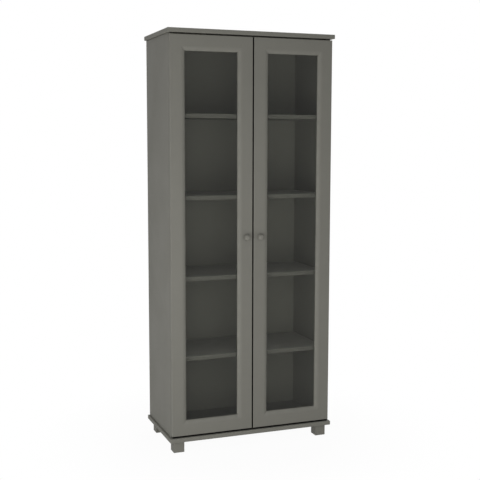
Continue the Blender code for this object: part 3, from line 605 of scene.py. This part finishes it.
def smooth_path(points, steps):
    """A smooth curve through points, with steps on each stretch."""
    last = len(points) - 1
    path = []
    for i in range(last):
        before = Vector(points[max(i - 1, 0)])
        start = Vector(points[i])
        end = Vector(points[i + 1])
        after = Vector(points[min(i + 2, last)])
        for step in range(steps):
            t = step / steps
            first = 2.0 * start
            second = (end - before) * t
            third = (2.0 * before - 5.0 * start + 4.0 * end - after) * t * t
            fourth = (3.0 * start - before - 3.0 * end + after) * t * t * t
            path.append(tuple((first + second + third + fourth) / 2.0))
    path.append(tuple(points[last]))
    return path


def quarter_round(radius, steps):
    """A quarter circle that rounds off a corner at (0, 0), from (0, radius) to (radius, 0)."""
    angles = [0.5 * math.pi * i / steps for i in range(steps + 1)]
    return [(radius * (1.0 - math.cos(angle)), radius * (1.0 - math.sin(angle))) for angle in angles]


def frame_members(low, high):
    """The four sides of a door or retainer: outer corner, length, and the ways inward and along."""
    width = high.x - low.x
    height = high.z - low.z
    return {"left": (low, height, RIGHT, UP),
            "right": (Vector((high.x, low.y, low.z)), height, -RIGHT, UP),
            "bottom": (low, width, UP, RIGHT),
            "top": (Vector((low.x, low.y, high.z)), width, -UP, RIGHT)}


def mitred_member(builder, section, corner, length, inward, along, gap):
    """Add a frame member: a section of (in, back) points, swept along an edge and cut at 45 degrees."""
    trim = gap / 2 * math.sqrt(2.0)
    first = []
    last = []
    for across, depth in section:
        base = corner + inward * across + BACK * depth
        first.append(builder.verts.new(base + along * (across + trim)))
        last.append(builder.verts.new(base + along * (length - across - trim)))
    builder.faces.new(first)
    builder.faces.new(list(reversed(last)))
    count = len(section)
    for i in range(count):
        j = (i + 1) % count
        builder.faces.new((first[i], first[j], last[j], last[i]))


def refined_copy(node_name, width):
    """A CAD node's shape with its triangles merged and its sharp edges eased."""
    flat = math.radians(1.0)
    sharp = math.radians(SHARP_HINGE)
    builder = bmesh.new()
    builder.from_mesh(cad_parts[node_name].data)
    bmesh.ops.remove_doubles(builder, verts=builder.verts, dist=MERGE)
    bmesh.ops.dissolve_limit(builder, angle_limit=flat, verts=builder.verts, edges=builder.edges)
    edges = [edge for edge in builder.edges if edge.is_manifold and edge.calc_face_angle() > sharp]
    ease(builder, edges, width, segments=2)
    return builder


# Pieces
def add_thing(name, data):
    """Add an object to the scene."""
    thing = bpy.data.objects.new(name, data)
    bpy.context.scene.collection.objects.link(thing)
    return thing


def bake(thing):
    """Turn an object's modifiers into a plain mesh."""
    graph = bpy.context.evaluated_depsgraph_get()
    mesh = bpy.data.meshes.new_from_object(thing.evaluated_get(graph), preserve_all_data_layers=True,
                                           depsgraph=graph)
    rough = thing.data
    thing.modifiers.clear()
    thing.data = mesh
    mesh.name = thing.name
    bpy.data.meshes.remove(rough)


def mark_edges(mesh):
    """Mark the faces that turn away from the main directions, as an edge mask for the finishes."""
    mask = mesh.attributes.new(EDGE_MASK, 'FLOAT', 'FACE')
    values = []
    for polygon in mesh.polygons:
        flat = max(abs(part) for part in polygon.normal)
        values.append(min(1.0, max(0.0, (EDGE_FLAT - flat) / EDGE_FADE)))
    mask.data.foreach_set('value', values)


def shaped(name, builder, sharp_angle):
    """An object from a mesh, smooth but for its sharp edges."""
    mesh = bpy.data.meshes.new(name)
    bmesh.ops.recalc_face_normals(builder, faces=builder.faces)
    builder.to_mesh(mesh)
    builder.free()
    mesh.shade_smooth()
    mesh.set_sharp_from_angle(angle=math.radians(sharp_angle))
    return add_thing(name, mesh)


def settle(thing, body, nodes=()):
    """Let a piece ride on a body and stand for its CAD nodes."""
    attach(thing, body)
    if nodes:
        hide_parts(*nodes)


def make_piece(name, builder, material, body, nodes=(), sharp_angle=SHARP):
    """Finish a mesh as a piece with a plain mesh, on its body."""
    thing = shaped(name, builder, sharp_angle)
    mark_edges(thing.data)
    thing.data.materials.append(material)
    weighted = thing.modifiers.new("flat_faces", 'WEIGHTED_NORMAL')
    weighted.mode = 'FACE_AREA'
    weighted.weight = 90
    weighted.keep_sharp = True
    bake(thing)
    settle(thing, body, nodes)


def replace_node(node, builder, finish_name, body, sharp_angle=SHARP):
    """Make a piece in place of a CAD node."""
    make_piece(node + "_finished", builder, finish(finish_name), body, (node,), sharp_angle)


def dress(node_name, material):
    """Give a CAD node that keeps its own shape a finish."""
    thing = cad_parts[node_name]
    thing.data.materials.clear()
    thing.data.materials.append(material)


# Geometry node trees
def geometry_tree(name, **inputs):
    """A geometry node tree with a geometry in and out, and inputs of the given kinds by name."""
    tree = bpy.data.node_groups.new(name, 'GeometryNodeTree')
    for label, kind in {"Geometry": 'Geometry', **inputs}.items():
        tree.interface.new_socket(label, in_out='INPUT', socket_type='NodeSocket' + kind)
    tree.interface.new_socket("Geometry", in_out='OUTPUT', socket_type='NodeSocketGeometry')
    return tree, add_node(tree, 'NodeGroupInput')


def copies_on(tree, entry, points, shape, rotation, **inputs):
    """Put a copy of a shape on each point, make the copies real and end the tree."""
    copies = add_node(tree, 'GeometryNodeInstanceOnPoints', Points=points, Instance=shape, Rotation=rotation,
                      **inputs)
    real = add_node(tree, 'GeometryNodeRealizeInstances', Geometry=copies['Instances'])
    dressed = add_node(tree, 'GeometryNodeSetMaterial', Geometry=real['Geometry'], Material=entry['Material'])
    add_node(tree, 'NodeGroupOutput', Geometry=dressed['Geometry'])


def facing_rotation(tree):
    """Turn each copy's Z axis to the direction kept on its point."""
    direction = add_node(tree, 'GeometryNodeInputNamedAttribute', {"data_type": 'FLOAT_VECTOR'}, Name=FACING)
    align = add_node(tree, 'FunctionNodeAlignRotationToVector', {"axis": 'Z'}, Vector=direction['Attribute'])
    return align['Rotation']


def fitting_shape(tree, entry):
    """The shape of the fitting that a tree copies."""
    return add_node(tree, 'GeometryNodeObjectInfo', Object=entry['Fitting'])['Geometry']


def upright(tree, height, across=0.0):
    """A vector with a height, and one other size for both X and Y."""
    return add_node(tree, 'ShaderNodeCombineXYZ', X=across, Y=across, Z=height)['Vector']


def fittings_tree(name):
    """Copies of a small fitting, one on each point, each turned by chance about its own axis."""
    tree, entry = geometry_tree(name, Fitting='Object', Size='Float', Turn='Float', Seed='Int',
                                Material='Material')
    chance = add_node(tree, 'FunctionNodeRandomValue', {"data_type": 'FLOAT'}, Max=entry['Turn'],
                      Seed=entry['Seed'])
    spin = add_node(tree, 'FunctionNodeEulerToRotation', Euler=upright(tree, chance['Value']))
    local = add_node(tree, 'FunctionNodeRotateRotation', {"rotation_space": 'LOCAL'},
                     Rotation=facing_rotation(tree), Rotate_By=spin['Rotation'])
    copies_on(tree, entry, entry['Geometry'], fitting_shape(tree, entry), local['Rotation'],
              Scale=entry['Size'])


def sleeves_tree(name):
    """Rows of sleeved holes: a turned sleeve at every pitch above and below each point."""
    tree, entry = geometry_tree(name, Rows='Int', Pitch='Float', Radius='Float', Bore='Float', Lip='Float',
                                Material='Material')
    below = math_node(tree, 'MULTIPLY', math_node(tree, 'SUBTRACT', entry['Rows'], 1.0), -0.5)
    start = math_node(tree, 'MULTIPLY', below, entry['Pitch'])
    line = add_node(tree, 'GeometryNodeMeshLine', Count=entry['Rows'], Start_Location=upright(tree, start),
                    Offset=upright(tree, entry['Pitch']))
    rows = add_node(tree, 'GeometryNodeInstanceOnPoints', Points=entry['Geometry'], Instance=line['Mesh'])
    spots = add_node(tree, 'GeometryNodeRealizeInstances', Geometry=rows['Instances'])
    half_wall = math_node(tree, 'MULTIPLY', math_node(tree, 'SUBTRACT', entry['Radius'], entry['Bore']), 0.5)
    middle = math_node(tree, 'MULTIPLY', math_node(tree, 'ADD', entry['Radius'], entry['Bore']), 0.5)
    path = add_node(tree, 'GeometryNodeCurvePrimitiveCircle', Resolution=20, Radius=middle)
    bead = add_node(tree, 'GeometryNodeCurvePrimitiveCircle', Resolution=10, Radius=half_wall)
    ring = add_node(tree, 'GeometryNodeCurveToMesh', Curve=path['Curve'], Profile_Curve=bead['Curve'])
    flatness = upright(tree, math_node(tree, 'DIVIDE', entry['Lip'], half_wall), across=1.0)
    flat = add_node(tree, 'GeometryNodeTransform', Geometry=ring['Mesh'], Scale=flatness)
    copies_on(tree, entry, spots['Geometry'], flat['Geometry'], facing_rotation(tree))


def brads_tree(name):
    """Nail or brad heads spaced along a line."""
    tree, entry = geometry_tree(name, Fitting='Object', Spacing='Float', Material='Material')
    curve = add_node(tree, 'GeometryNodeMeshToCurve', Mesh=entry['Geometry'])
    even = add_node(tree, 'GeometryNodeResampleCurve', {"mode": 'LENGTH'}, Curve=curve['Curve'],
                    Length=entry['Spacing'])
    copies_on(tree, entry, even['Curve'], fitting_shape(tree, entry), facing_rotation(tree))


NODE_GROUPS = {"paint_film": paint_film_group, "handling": edge_rub_and_highlight_group, "settled_dust": dust_and_top_light_group,
               "fittings_on_points": fittings_tree, "pin_hole_sleeves": sleeves_tree,
               "brads_along_line": brads_tree}


def run_tree(name, tree_name, points, body, slot_name, nodes=(), edges=(), **values):
    """Make a piece from a tree: points of (place, facing), edges between them and input values by name."""
    tree = node_group(tree_name)
    mesh = bpy.data.meshes.new(name)
    mesh.from_pydata([place for place, facing in points], edges, [])
    direction = mesh.attributes.new(FACING, 'FLOAT_VECTOR', 'POINT')
    direction.data.foreach_set('vector', [part for place, facing in points for part in facing])
    thing = bpy.data.objects.new(name, mesh)
    modifier = thing.modifiers.new(tree.name, 'NODES')
    modifier.node_group = tree
    for item in tree.interface.items_tree:
        if item.in_out == 'INPUT' and item.name in values:
            modifier[item.identifier] = values[item.name]
    bpy.context.scene.collection.objects.link(thing)
    bake(thing)
    if FACING in thing.data.attributes:
        thing.data.attributes.remove(thing.data.attributes[FACING])
    mark_edges(thing.data)
    settle(thing, body, nodes)


def place_screws(name, screw, points, body, nodes=(), *, seed, scale=1.0):
    """Put a steel screw head on each point."""
    run_tree(name, "fittings_on_points", points, body, "steel", nodes, Fitting=screw, Size=scale,
             Turn=SCREW_TURN, Seed=seed, Material=finish("nickel_steel"))


def place_brads(name, brad, places, edges, spacing, body):
    """Put steel brad heads that face the rear along lines between places."""
    run_tree(name, "brads_along_line", [(place, BACK) for place in places], body, "steel", edges=edges,
             Fitting=brad, Spacing=spacing, Material=finish("nickel_steel"))


def template(name, profile, segments):
    """A small turned fitting at the origin that a tree copies. It is discarded once the copies are made."""
    builder = bmesh.new()
    turned(builder, profile, segments)
    return shaped(name, builder, SHARP)


def discard(thing):
    """Remove an object and its mesh."""
    mesh = thing.data
    bpy.data.objects.remove(thing)
    bpy.data.meshes.remove(mesh)


def screw_template(name, radius):
    """A pan head screw with a cross recess, seated on its point."""
    head = template(name, scaled(SCREW_PROFILE, radius, radius), segments=24)
    builder = bmesh.new()
    for turn in (0.0, math.pi / 2):
        arm = Matrix.Rotation(turn, 4, 'Z') @ Matrix.Translation((0.0, 0.0, RECESS_HEIGHT * radius))
        size = Matrix.Diagonal((*[share * radius for share in RECESS_SIZE], 1.0))
        bmesh.ops.create_cube(builder, size=1.0, matrix=arm @ size)
    cutter = shaped(name + "_recess", builder, SHARP)
    cut = head.modifiers.new("recess", 'BOOLEAN')
    cut.operation = 'DIFFERENCE'
    cut.use_self = True
    cut.object = cutter
    bake(head)
    discard(cutter)
    return head


def brad_template(name, radius):
    """A brad with a low domed head, seated on its point."""
    return template(name, scaled(BRAD_PROFILE, radius, radius), segments=12)


# Carcass
def block_piece(node, low, high, radius, segments=4, finish_name="grey_satin_paint"):
    """Make a block of the carcass with rounded edges in place of a CAD node."""
    builder = bmesh.new()
    rounded_block(builder, low, high, radius, segments)
    replace_node(node, builder, finish_name, "carcass")


class CABINET_OT_boards(Operator):
    """Make the top and base boards with softly rounded edges, and the screws under the base board"""
    bl_idname = "cabinet.boards"
    bl_label = "Top and base boards"

    def execute(self, context):
        sizes = context.scene.cabinet_sizes
        for name in ("top_board", "base_board"):
            low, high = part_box(name)
            block_piece(name, low, high, sizes.board_round, segments=5)
        screw = screw_template("base_screw_head", sizes.base_screw_radius)
        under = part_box("base_board")[0].z
        points = []
        for side in SIDES:
            low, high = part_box("side_panel_" + side)
            for y in (low.y + sizes.base_screw_inset, high.y - sizes.base_screw_inset):
                points.append((((low.x + high.x) / 2, y, under), -UP))
        place_screws("base_board_screws", screw, points, "carcass", seed=12)
        discard(screw)
        return {'FINISHED'}


class CABINET_OT_panels(Operator):
    """Finish the side panels and the back panel, and add the back panel's nails"""
    bl_idname = "cabinet.panels"
    bl_label = "Side and back panels"

    def execute(self, context):
        for side in SIDES:
            dress("side_panel_" + side, finish("grey_satin_paint"))
        dress("back_panel", finish("back_panel_board"))
        sizes = context.scene.cabinet_sizes
        nail = brad_template("back_nail", sizes.nail_radius)
        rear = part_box("back_panel")[1].y
        low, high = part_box("shelf_2_fixed")
        height = (low.z + high.z) / 2
        inset = sizes.nail_spacing / 2
        ends = [(x, rear, height) for x in (low.x + inset, high.x - inset)]
        place_brads("back_panel_nails", nail, ends, [(0, 1)], sizes.nail_spacing, "carcass")
        discard(nail)
        return {'FINISHED'}


class CABINET_OT_shelves(Operator):
    """Make the shelves"""
    bl_idname = "cabinet.shelves"
    bl_label = "Shelves"

    def execute(self, context):
        radius = context.scene.cabinet_sizes.shelf_round
        for name in [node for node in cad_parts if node.startswith("shelf_") and "pin" not in node]:
            low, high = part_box(name)
            block_piece(name, low, high, radius, finish_name="grey_shelf_paint")
        return {'FINISHED'}


class CABINET_OT_feet(Operator):
    """Make the block feet and their glides"""
    bl_idname = "cabinet.feet"
    bl_label = "Feet and glides"

    def execute(self, context):
        sizes = context.scene.cabinet_sizes
        glides = bmesh.new()
        profile = scaled(GLIDE_PROFILE, sizes.glide_radius, sizes.glide_thick)
        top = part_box("base_board")[0].z
        for name in ["foot_%s_%s" % (row, side) for row in ("front", "rear") for side in SIDES]:
            low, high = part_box(name)
            block_piece(name, low + UP * sizes.glide_thick, (high.x, high.y, top - MERGE), sizes.foot_round)
            middle = (low + high) / 2
            spot = Matrix.Translation((middle.x, middle.y, low.z))
            turned(glides, profile, segments=32, spot=spot)
        make_piece("foot_glides", glides, finish("glide_plastic"), "carcass")
        return {'FINISHED'}


def pin_profile(sizes, radius):
    """Profile of a shelf pin: plug, collar and a rounded peg."""
    plug = 0.62 * radius
    collar = 1.25 * radius
    rim = 1.32 * radius
    peg = 0.98 * radius
    shoulder = 0.90 * radius
    tip = 0.72 * radius
    collar_end = sizes.pin_seat + sizes.pin_collar
    third = sizes.pin_collar / 3
    return [(0.0, -sizes.pin_plug), (plug, -sizes.pin_plug), (plug, sizes.pin_seat), (collar, sizes.pin_seat),
            (rim, sizes.pin_seat + third), (collar, collar_end - third / 2), (peg, collar_end),
            (peg, sizes.pin_reach - sizes.pin_collar), (shoulder, sizes.pin_reach - third),
            (tip, sizes.pin_reach), (0.0, sizes.pin_reach)]


class CABINET_OT_shelf_fittings(Operator):
    """Make the shelf pins and the sleeves of the pin holes"""
    bl_idname = "cabinet.shelf_fittings"
    bl_label = "Shelf pins and sleeves"

    def execute(self, context):
        sizes = context.scene.cabinet_sizes
        nodes = sorted(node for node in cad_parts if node.startswith("shelf_pin_"))
        spots = []
        for node in nodes:
            low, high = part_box(node)
            middle = (low + high) / 2
            inward = RIGHT if middle.x < 0 else -RIGHT
            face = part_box("side_panel_left")[1].x if middle.x < 0 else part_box("side_panel_right")[0].x
            spots.append(((face, middle.y, middle.z), inward))
        low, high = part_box(nodes[0])
        pin = template("shelf_pin", pin_profile(sizes, (high.z - low.z) / 2), segments=20)
        run_tree("shelf_pins", "fittings_on_points", spots, "carcass", "plastic", nodes, Fitting=pin,
                 Size=1.0, Turn=0.0, Seed=1, Material=finish("grey_plastic"))
        discard(pin)
        run_tree("pin_hole_sleeves", "pin_hole_sleeves", spots, "carcass", "steel", Rows=sizes.pin_rows,
                 Pitch=sizes.pin_pitch, Radius=sizes.sleeve_radius, Bore=sizes.sleeve_bore,
                 Lip=sizes.sleeve_lip, Material=finish("nickel_steel"))
        return {'FINISHED'}


# Doors
def door_box(side):
    """Lowest and highest corner of a door's frame."""
    corners = [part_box("%s_door_%s" % (side, part)) for part in ("hinge_stile", "lock_stile")]
    low = Vector([min(pair[0][i] for pair in corners) for i in range(3)])
    high = Vector([max(pair[1][i] for pair in corners) for i in range(3)])
    return low, high


def frame_section(sizes, thick):
    """Section of a door frame member: rounded outer edge, flat face, ovolo moulding and glass rebate."""
    flat = sizes.frame_width - sizes.moulding_width
    rebate = sizes.frame_width - sizes.rebate_width
    section = [(0.0, thick - sizes.door_rear_chamfer), *quarter_round(sizes.door_round, steps=8), (flat, 0.0)]
    curve = smooth_path(MOULDING, CURVE_STEPS)
    for across, depth in scaled(curve, sizes.moulding_width, sizes.moulding_depth):
        section.append((flat + across, depth))
    section += [(sizes.frame_width, sizes.lip_rear), (rebate, sizes.lip_rear), (rebate, thick),
                (sizes.door_rear_chamfer, thick)]
    return section


def meeting_shade_seal(builder, sizes, side, low, high):
    """Add a black seal strip on a door's meeting edge, as painted shade in the gap between the doors."""
    meeting = high.x if side == "left" else low.x
    inner = meeting + sizes.seal_thick * (1.0 if side == "left" else -1.0)
    margin = sizes.seal_margin
    rounded_block(builder, (min(meeting, inner), low.y + margin, low.z + margin),
                  (max(meeting, inner), high.y - margin, high.z - margin), sizes.seal_round)


def brush_shade_seal(builder, sizes, side, low, high):
    """Add a black brush seal along a door's lower edge, as painted shade in the gap above the base board: a
    backing strip and the pile that hangs from it.
    """
    start = low.x + (sizes.seal_margin if side == "left" else 0.0)
    end = high.x - (sizes.seal_margin if side == "right" else 0.0)
    front = low.y + sizes.seal_margin
    strip_end = low.z - sizes.shade_brush_strip
    rounded_block(builder, (start, front, strip_end), (end, front + sizes.shade_brush_backing, low.z),
                  sizes.seal_round)
    front += sizes.shade_brush_inset
    rounded_block(builder, (start, front, low.z - sizes.shade_brush_reach),
                  (end, front + sizes.shade_brush_pile, strip_end + sizes.shade_brush_root), sizes.seal_round)


class CABINET_OT_door_frames(Operator):
    """Make the mitred door frames with their moulded inner edges, and the black seals that paint shade into
    the doors' gaps
    """
    bl_idname = "cabinet.door_frames"
    bl_label = "Door frames"

    def execute(self, context):
        sizes = context.scene.cabinet_sizes
        for side in SIDES:
            low, high = door_box(side)
            section = frame_section(sizes, high.y - low.y)
            for place, member in frame_members(low, high).items():
                if place in SIDES:
                    part = "hinge_stile" if place == side else "lock_stile"
                else:
                    part = place + "_rail"
                node = "%s_door_%s" % (side, part)
                builder = bmesh.new()
                mitred_member(builder, section, *member, sizes.mitre_gap)
                replace_node(node, builder, "grey_satin_paint", side + "_door", SHARP_MEMBER)
            # Black seal strips: painted shade in the gaps between the doors and above the base board.
            builder = bmesh.new()
            meeting_shade_seal(builder, sizes, side, low, high)
            brush_shade_seal(builder, sizes, side, low, high)
            make_piece(side + "_door_seal", builder, finish("seal_flock"), side + "_door")
        return {'FINISHED'}


def retainer_section(wide, thick):
    """Section of a glass retainer: flat on the glass, with a rounded inner edge."""
    inner_edge = [(wide - across, thick - depth) for across, depth in quarter_round(thick / 2, steps=6)]
    return [(0.0, 0.0), (wide, 0.0), *inner_edge, (0.0, thick)]


class CABINET_OT_glazing(Operator):
    """Make the glass panes, their retainers and the brads"""
    bl_idname = "cabinet.glazing"
    bl_label = "Glass and retainers"

    def execute(self, context):
        sizes = context.scene.cabinet_sizes
        brad = brad_template("retainer_brad", sizes.brad_radius)
        inset = sizes.brad_inset
        for side in SIDES:
            low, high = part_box(side + "_door_glass")
            builder = bmesh.new()
            rounded_block(builder, low, high, sizes.glass_arris, segments=1)
            make_piece(side + "_door_pane", builder, finish("float_glass"), side + "_door",
                       (side + "_door_glass",), SHARP_GLASS)
            node = side + "_door_glass_retainer"
            low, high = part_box(node)
            section = retainer_section(sizes.rebate_width, high.y - low.y)
            builder = bmesh.new()
            for member in frame_members(low, high).values():
                mitred_member(builder, section, *member, sizes.mitre_gap)
            replace_node(node, builder, "grey_plastic", side + "_door", SHARP_MEMBER)
            places = [(low.x + inset, high.y, low.z + inset), (high.x - inset, high.y, low.z + inset),
                      (high.x - inset, high.y, high.z - inset), (low.x + inset, high.y, high.z - inset)]
            loop = [(i, (i + 1) % len(places)) for i in range(len(places))]
            place_brads(side + "_door_brads", brad, places, loop, sizes.brad_spacing, side + "_door")
        discard(brad)
        return {'FINISHED'}


class CABINET_OT_knobs(Operator):
    """Make the turned knobs and the screws that hold them"""
    bl_idname = "cabinet.knobs"
    bl_label = "Knobs"

    def execute(self, context):
        sizes = context.scene.cabinet_sizes
        screw = screw_template("knob_screw_head", sizes.knob_screw_radius)
        for side in SIDES:
            node = side + "_knob"
            low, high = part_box(node)
            reach = high.y - low.y
            controls = scaled(KNOB_NECK, sizes.knob_neck, reach) + scaled(KNOB_HEAD, sizes.knob_radius, reach)
            middle = (low + high) / 2
            spot = Matrix.Translation((middle.x, high.y, middle.z)) @ Matrix.Rotation(math.pi / 2, 4, 'X')
            builder = bmesh.new()
            turned(builder, [(0.0, 0.0)] + smooth_path(controls, CURVE_STEPS), segments=56, spot=spot)
            replace_node(node, builder, "grey_satin_paint", side + "_door", SHARP_KNOB)
            node = side + "_knob_screw"
            rear = door_box(side)[1].y
            points = [((middle.x, rear, middle.z), BACK)]
            place_screws(node + "_finished", screw, points, side + "_door", (node,), seed=4)
        discard(screw)
        return {'FINISHED'}


def cup_screw_points(node):
    """Where the two screws of a hinge cup sit."""
    low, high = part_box(node)
    middle = (low + high) / 2
    away = CUP_SCREW_SHARE * (high.z - low.z) / 2
    return [((middle.x, high.y, middle.z + way * away), BACK) for way in WAYS]


def arm_screw_points(node, sizes, side):
    """Where the screws of a hinge arm sit: two in its plate and two along the arm."""
    low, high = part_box(node)
    height = (low.z + high.z) / 2
    panel = low.x if side == "left" else high.x
    inward = RIGHT if side == "left" else -RIGHT
    plate = panel + inward.x * sizes.plate_thick
    arm = panel + inward.x * sizes.arm_height
    away = sizes.plate_screw_spacing / 2
    points = [((plate, high.y - sizes.plate_screw_inset, height + way * away), inward) for way in WAYS]
    return points + [((arm, high.y - share * sizes.arm_length, height), inward) for share in ARM_SCREW_SHARES]


class CABINET_OT_hinges(Operator):
    """Finish the concealed hinges and add their screws"""
    bl_idname = "cabinet.hinges"
    bl_label = "Hinges"

    def execute(self, context):
        sizes = context.scene.cabinet_sizes
        screw = screw_template("hinge_screw_head", sizes.screw_radius)
        for side in SIDES:
            carried = {"arm": "carcass", "link": side + "_hinge_links", "cup": side + "_door"}
            cup_screws = []
            arm_screws = []
            for node in sorted(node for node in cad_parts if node.startswith("hinge_") and side in node):
                kind = node.split("_")[1]
                builder = refined_copy(node, sizes.hinge_ease)
                replace_node(node, builder, "nickel_steel", carried[kind], SHARP_HINGE)
                if kind == "cup":
                    cup_screws += cup_screw_points(node)
                if kind == "arm":
                    arm_screws += arm_screw_points(node, sizes, side)
            place_screws(side + "_hinge_cup_screws", screw, cup_screws, carried["cup"], seed=7,
                         scale=CUP_SCREW_SCALE)
            place_screws(side + "_hinge_arm_screws", screw, arm_screws, carried["arm"], seed=9,
                         scale=ARM_SCREW_SCALE)
        discard(screw)
        return {'FINISHED'}


# Stage
def make_world(studio):
    """White where it is seen, and a weaker white that lights the object."""
    world = bpy.data.worlds.new("studio")
    world.use_nodes = True
    tree = world.node_tree
    tree.nodes.clear()
    white = (1.0, 1.0, 1.0, 1.0)
    fill = add_node(tree, 'ShaderNodeBackground', Color=white, Strength=studio.fill_level)['Background']
    seen = add_node(tree, 'ShaderNodeBackground', Color=white)['Background']
    show_mix(tree, tree.nodes.new('ShaderNodeOutputWorld'), ray_is_seen(tree), fill, seen)
    bpy.context.scene.world = world


def make_floor(studio):
    """A wide plain floor."""
    builder = bmesh.new()
    bmesh.ops.create_grid(builder, x_segments=1, y_segments=1, size=studio.floor_reach)
    mesh = bpy.data.meshes.new("floor")
    builder.to_mesh(mesh)
    builder.free()
    mesh.materials.append(finish("pale_floor"))
    floor = add_thing("floor", mesh)


def make_light(name, place, power, studio):
    """A soft light that faces the object and isn't seen through its glass."""
    lamp = bpy.data.lights.new(name, 'AREA')
    lamp.shape = 'RECTANGLE'
    lamp.size = studio.light_width
    lamp.size_y = studio.light_height
    lamp.energy = power
    thing = add_thing(name, lamp)
    thing.location = place
    thing.rotation_mode = 'QUATERNION'
    thing.rotation_quaternion = (Vector(studio.light_target) - thing.location).to_track_quat('-Z', 'Y')
    thing.visible_transmission = False


def make_camera(studio):
    """A camera that stands where the photograph was taken from."""
    camera = bpy.data.cameras.new("photo_camera")
    camera.sensor_width = studio.camera_sensor
    camera.lens = studio.camera_lens
    camera.clip_end = studio.camera_sight
    thing = add_thing("photo_camera", camera)
    yaw = studio.camera_yaw
    pitch = studio.camera_pitch
    roll = studio.camera_roll
    ahead = Vector((math.sin(yaw) * math.cos(pitch), math.cos(yaw) * math.cos(pitch), math.sin(pitch)))
    level = Vector((math.cos(yaw), -math.sin(yaw), 0.0))
    upward = level.cross(ahead)
    right = math.cos(roll) * level + math.sin(roll) * upward
    top = -math.sin(roll) * level + math.cos(roll) * upward
    turn = Matrix((right, top, -ahead)).transposed().to_4x4()
    thing.matrix_world = Matrix.Translation(studio.camera_place) @ turn
    bpy.context.scene.camera = thing


class CABINET_OT_stage(Operator):
    """Make the floor, the light and the camera"""
    bl_idname = "cabinet.stage"
    bl_label = "Studio"

    def execute(self, context):
        studio = context.scene.cabinet_studio
        context.scene.view_settings.view_transform = 'Standard'
        make_world(studio)
        make_floor(studio)
        make_light("key_light", studio.key_place, studio.key_power, studio)
        make_light("side_light", studio.side_place, studio.side_power, studio)
        make_light("rear_light", studio.rear_place, studio.rear_power, studio)
        make_camera(studio)
        return {'FINISHED'}


SETTINGS = {"cabinet_sizes": CabinetSizes, "cabinet_colours": CabinetColours, "cabinet_studio": CabinetStudio}
STEPS = (CABINET_OT_boards, CABINET_OT_panels, CABINET_OT_shelves, CABINET_OT_feet, CABINET_OT_shelf_fittings,
         CABINET_OT_door_frames, CABINET_OT_glazing, CABINET_OT_knobs, CABINET_OT_hinges, CABINET_OT_stage)


class CABINET_PT_sidebar(Panel):
    """Lists the cabinet's pieces and their sizes"""
    bl_idname = "CABINET_PT_sidebar"
    bl_label = "Display Cabinet"
    bl_space_type = 'VIEW_3D'
    bl_region_type = 'UI'
    bl_category = "Cabinet"

    def draw(self, context):
        for step in STEPS:
            self.layout.operator(step.bl_idname)
        for label, kind in SETTINGS.items():
            for name in kind.__annotations__:
                self.layout.prop(getattr(context.scene, label), name)


CLASSES = (*SETTINGS.values(), *STEPS, CABINET_PT_sidebar)


def register():
    for kind in CLASSES:
        bpy.utils.register_class(kind)
    for label, kind in SETTINGS.items():
        setattr(bpy.types.Scene, label, PointerProperty(type=kind))


def unregister():
    for label in SETTINGS:
        delattr(bpy.types.Scene, label)
    for kind in reversed(CLASSES):
        bpy.utils.unregister_class(kind)


def main():
    register()
    bpy.ops.cabinet.boards()
    bpy.ops.cabinet.panels()
    bpy.ops.cabinet.shelves()
    bpy.ops.cabinet.feet()
    bpy.ops.cabinet.shelf_fittings()
    bpy.ops.cabinet.door_frames()
    bpy.ops.cabinet.glazing()
    bpy.ops.cabinet.knobs()
    bpy.ops.cabinet.hinges()
    bpy.ops.cabinet.stage()


if __name__ == "__main__":
    main()
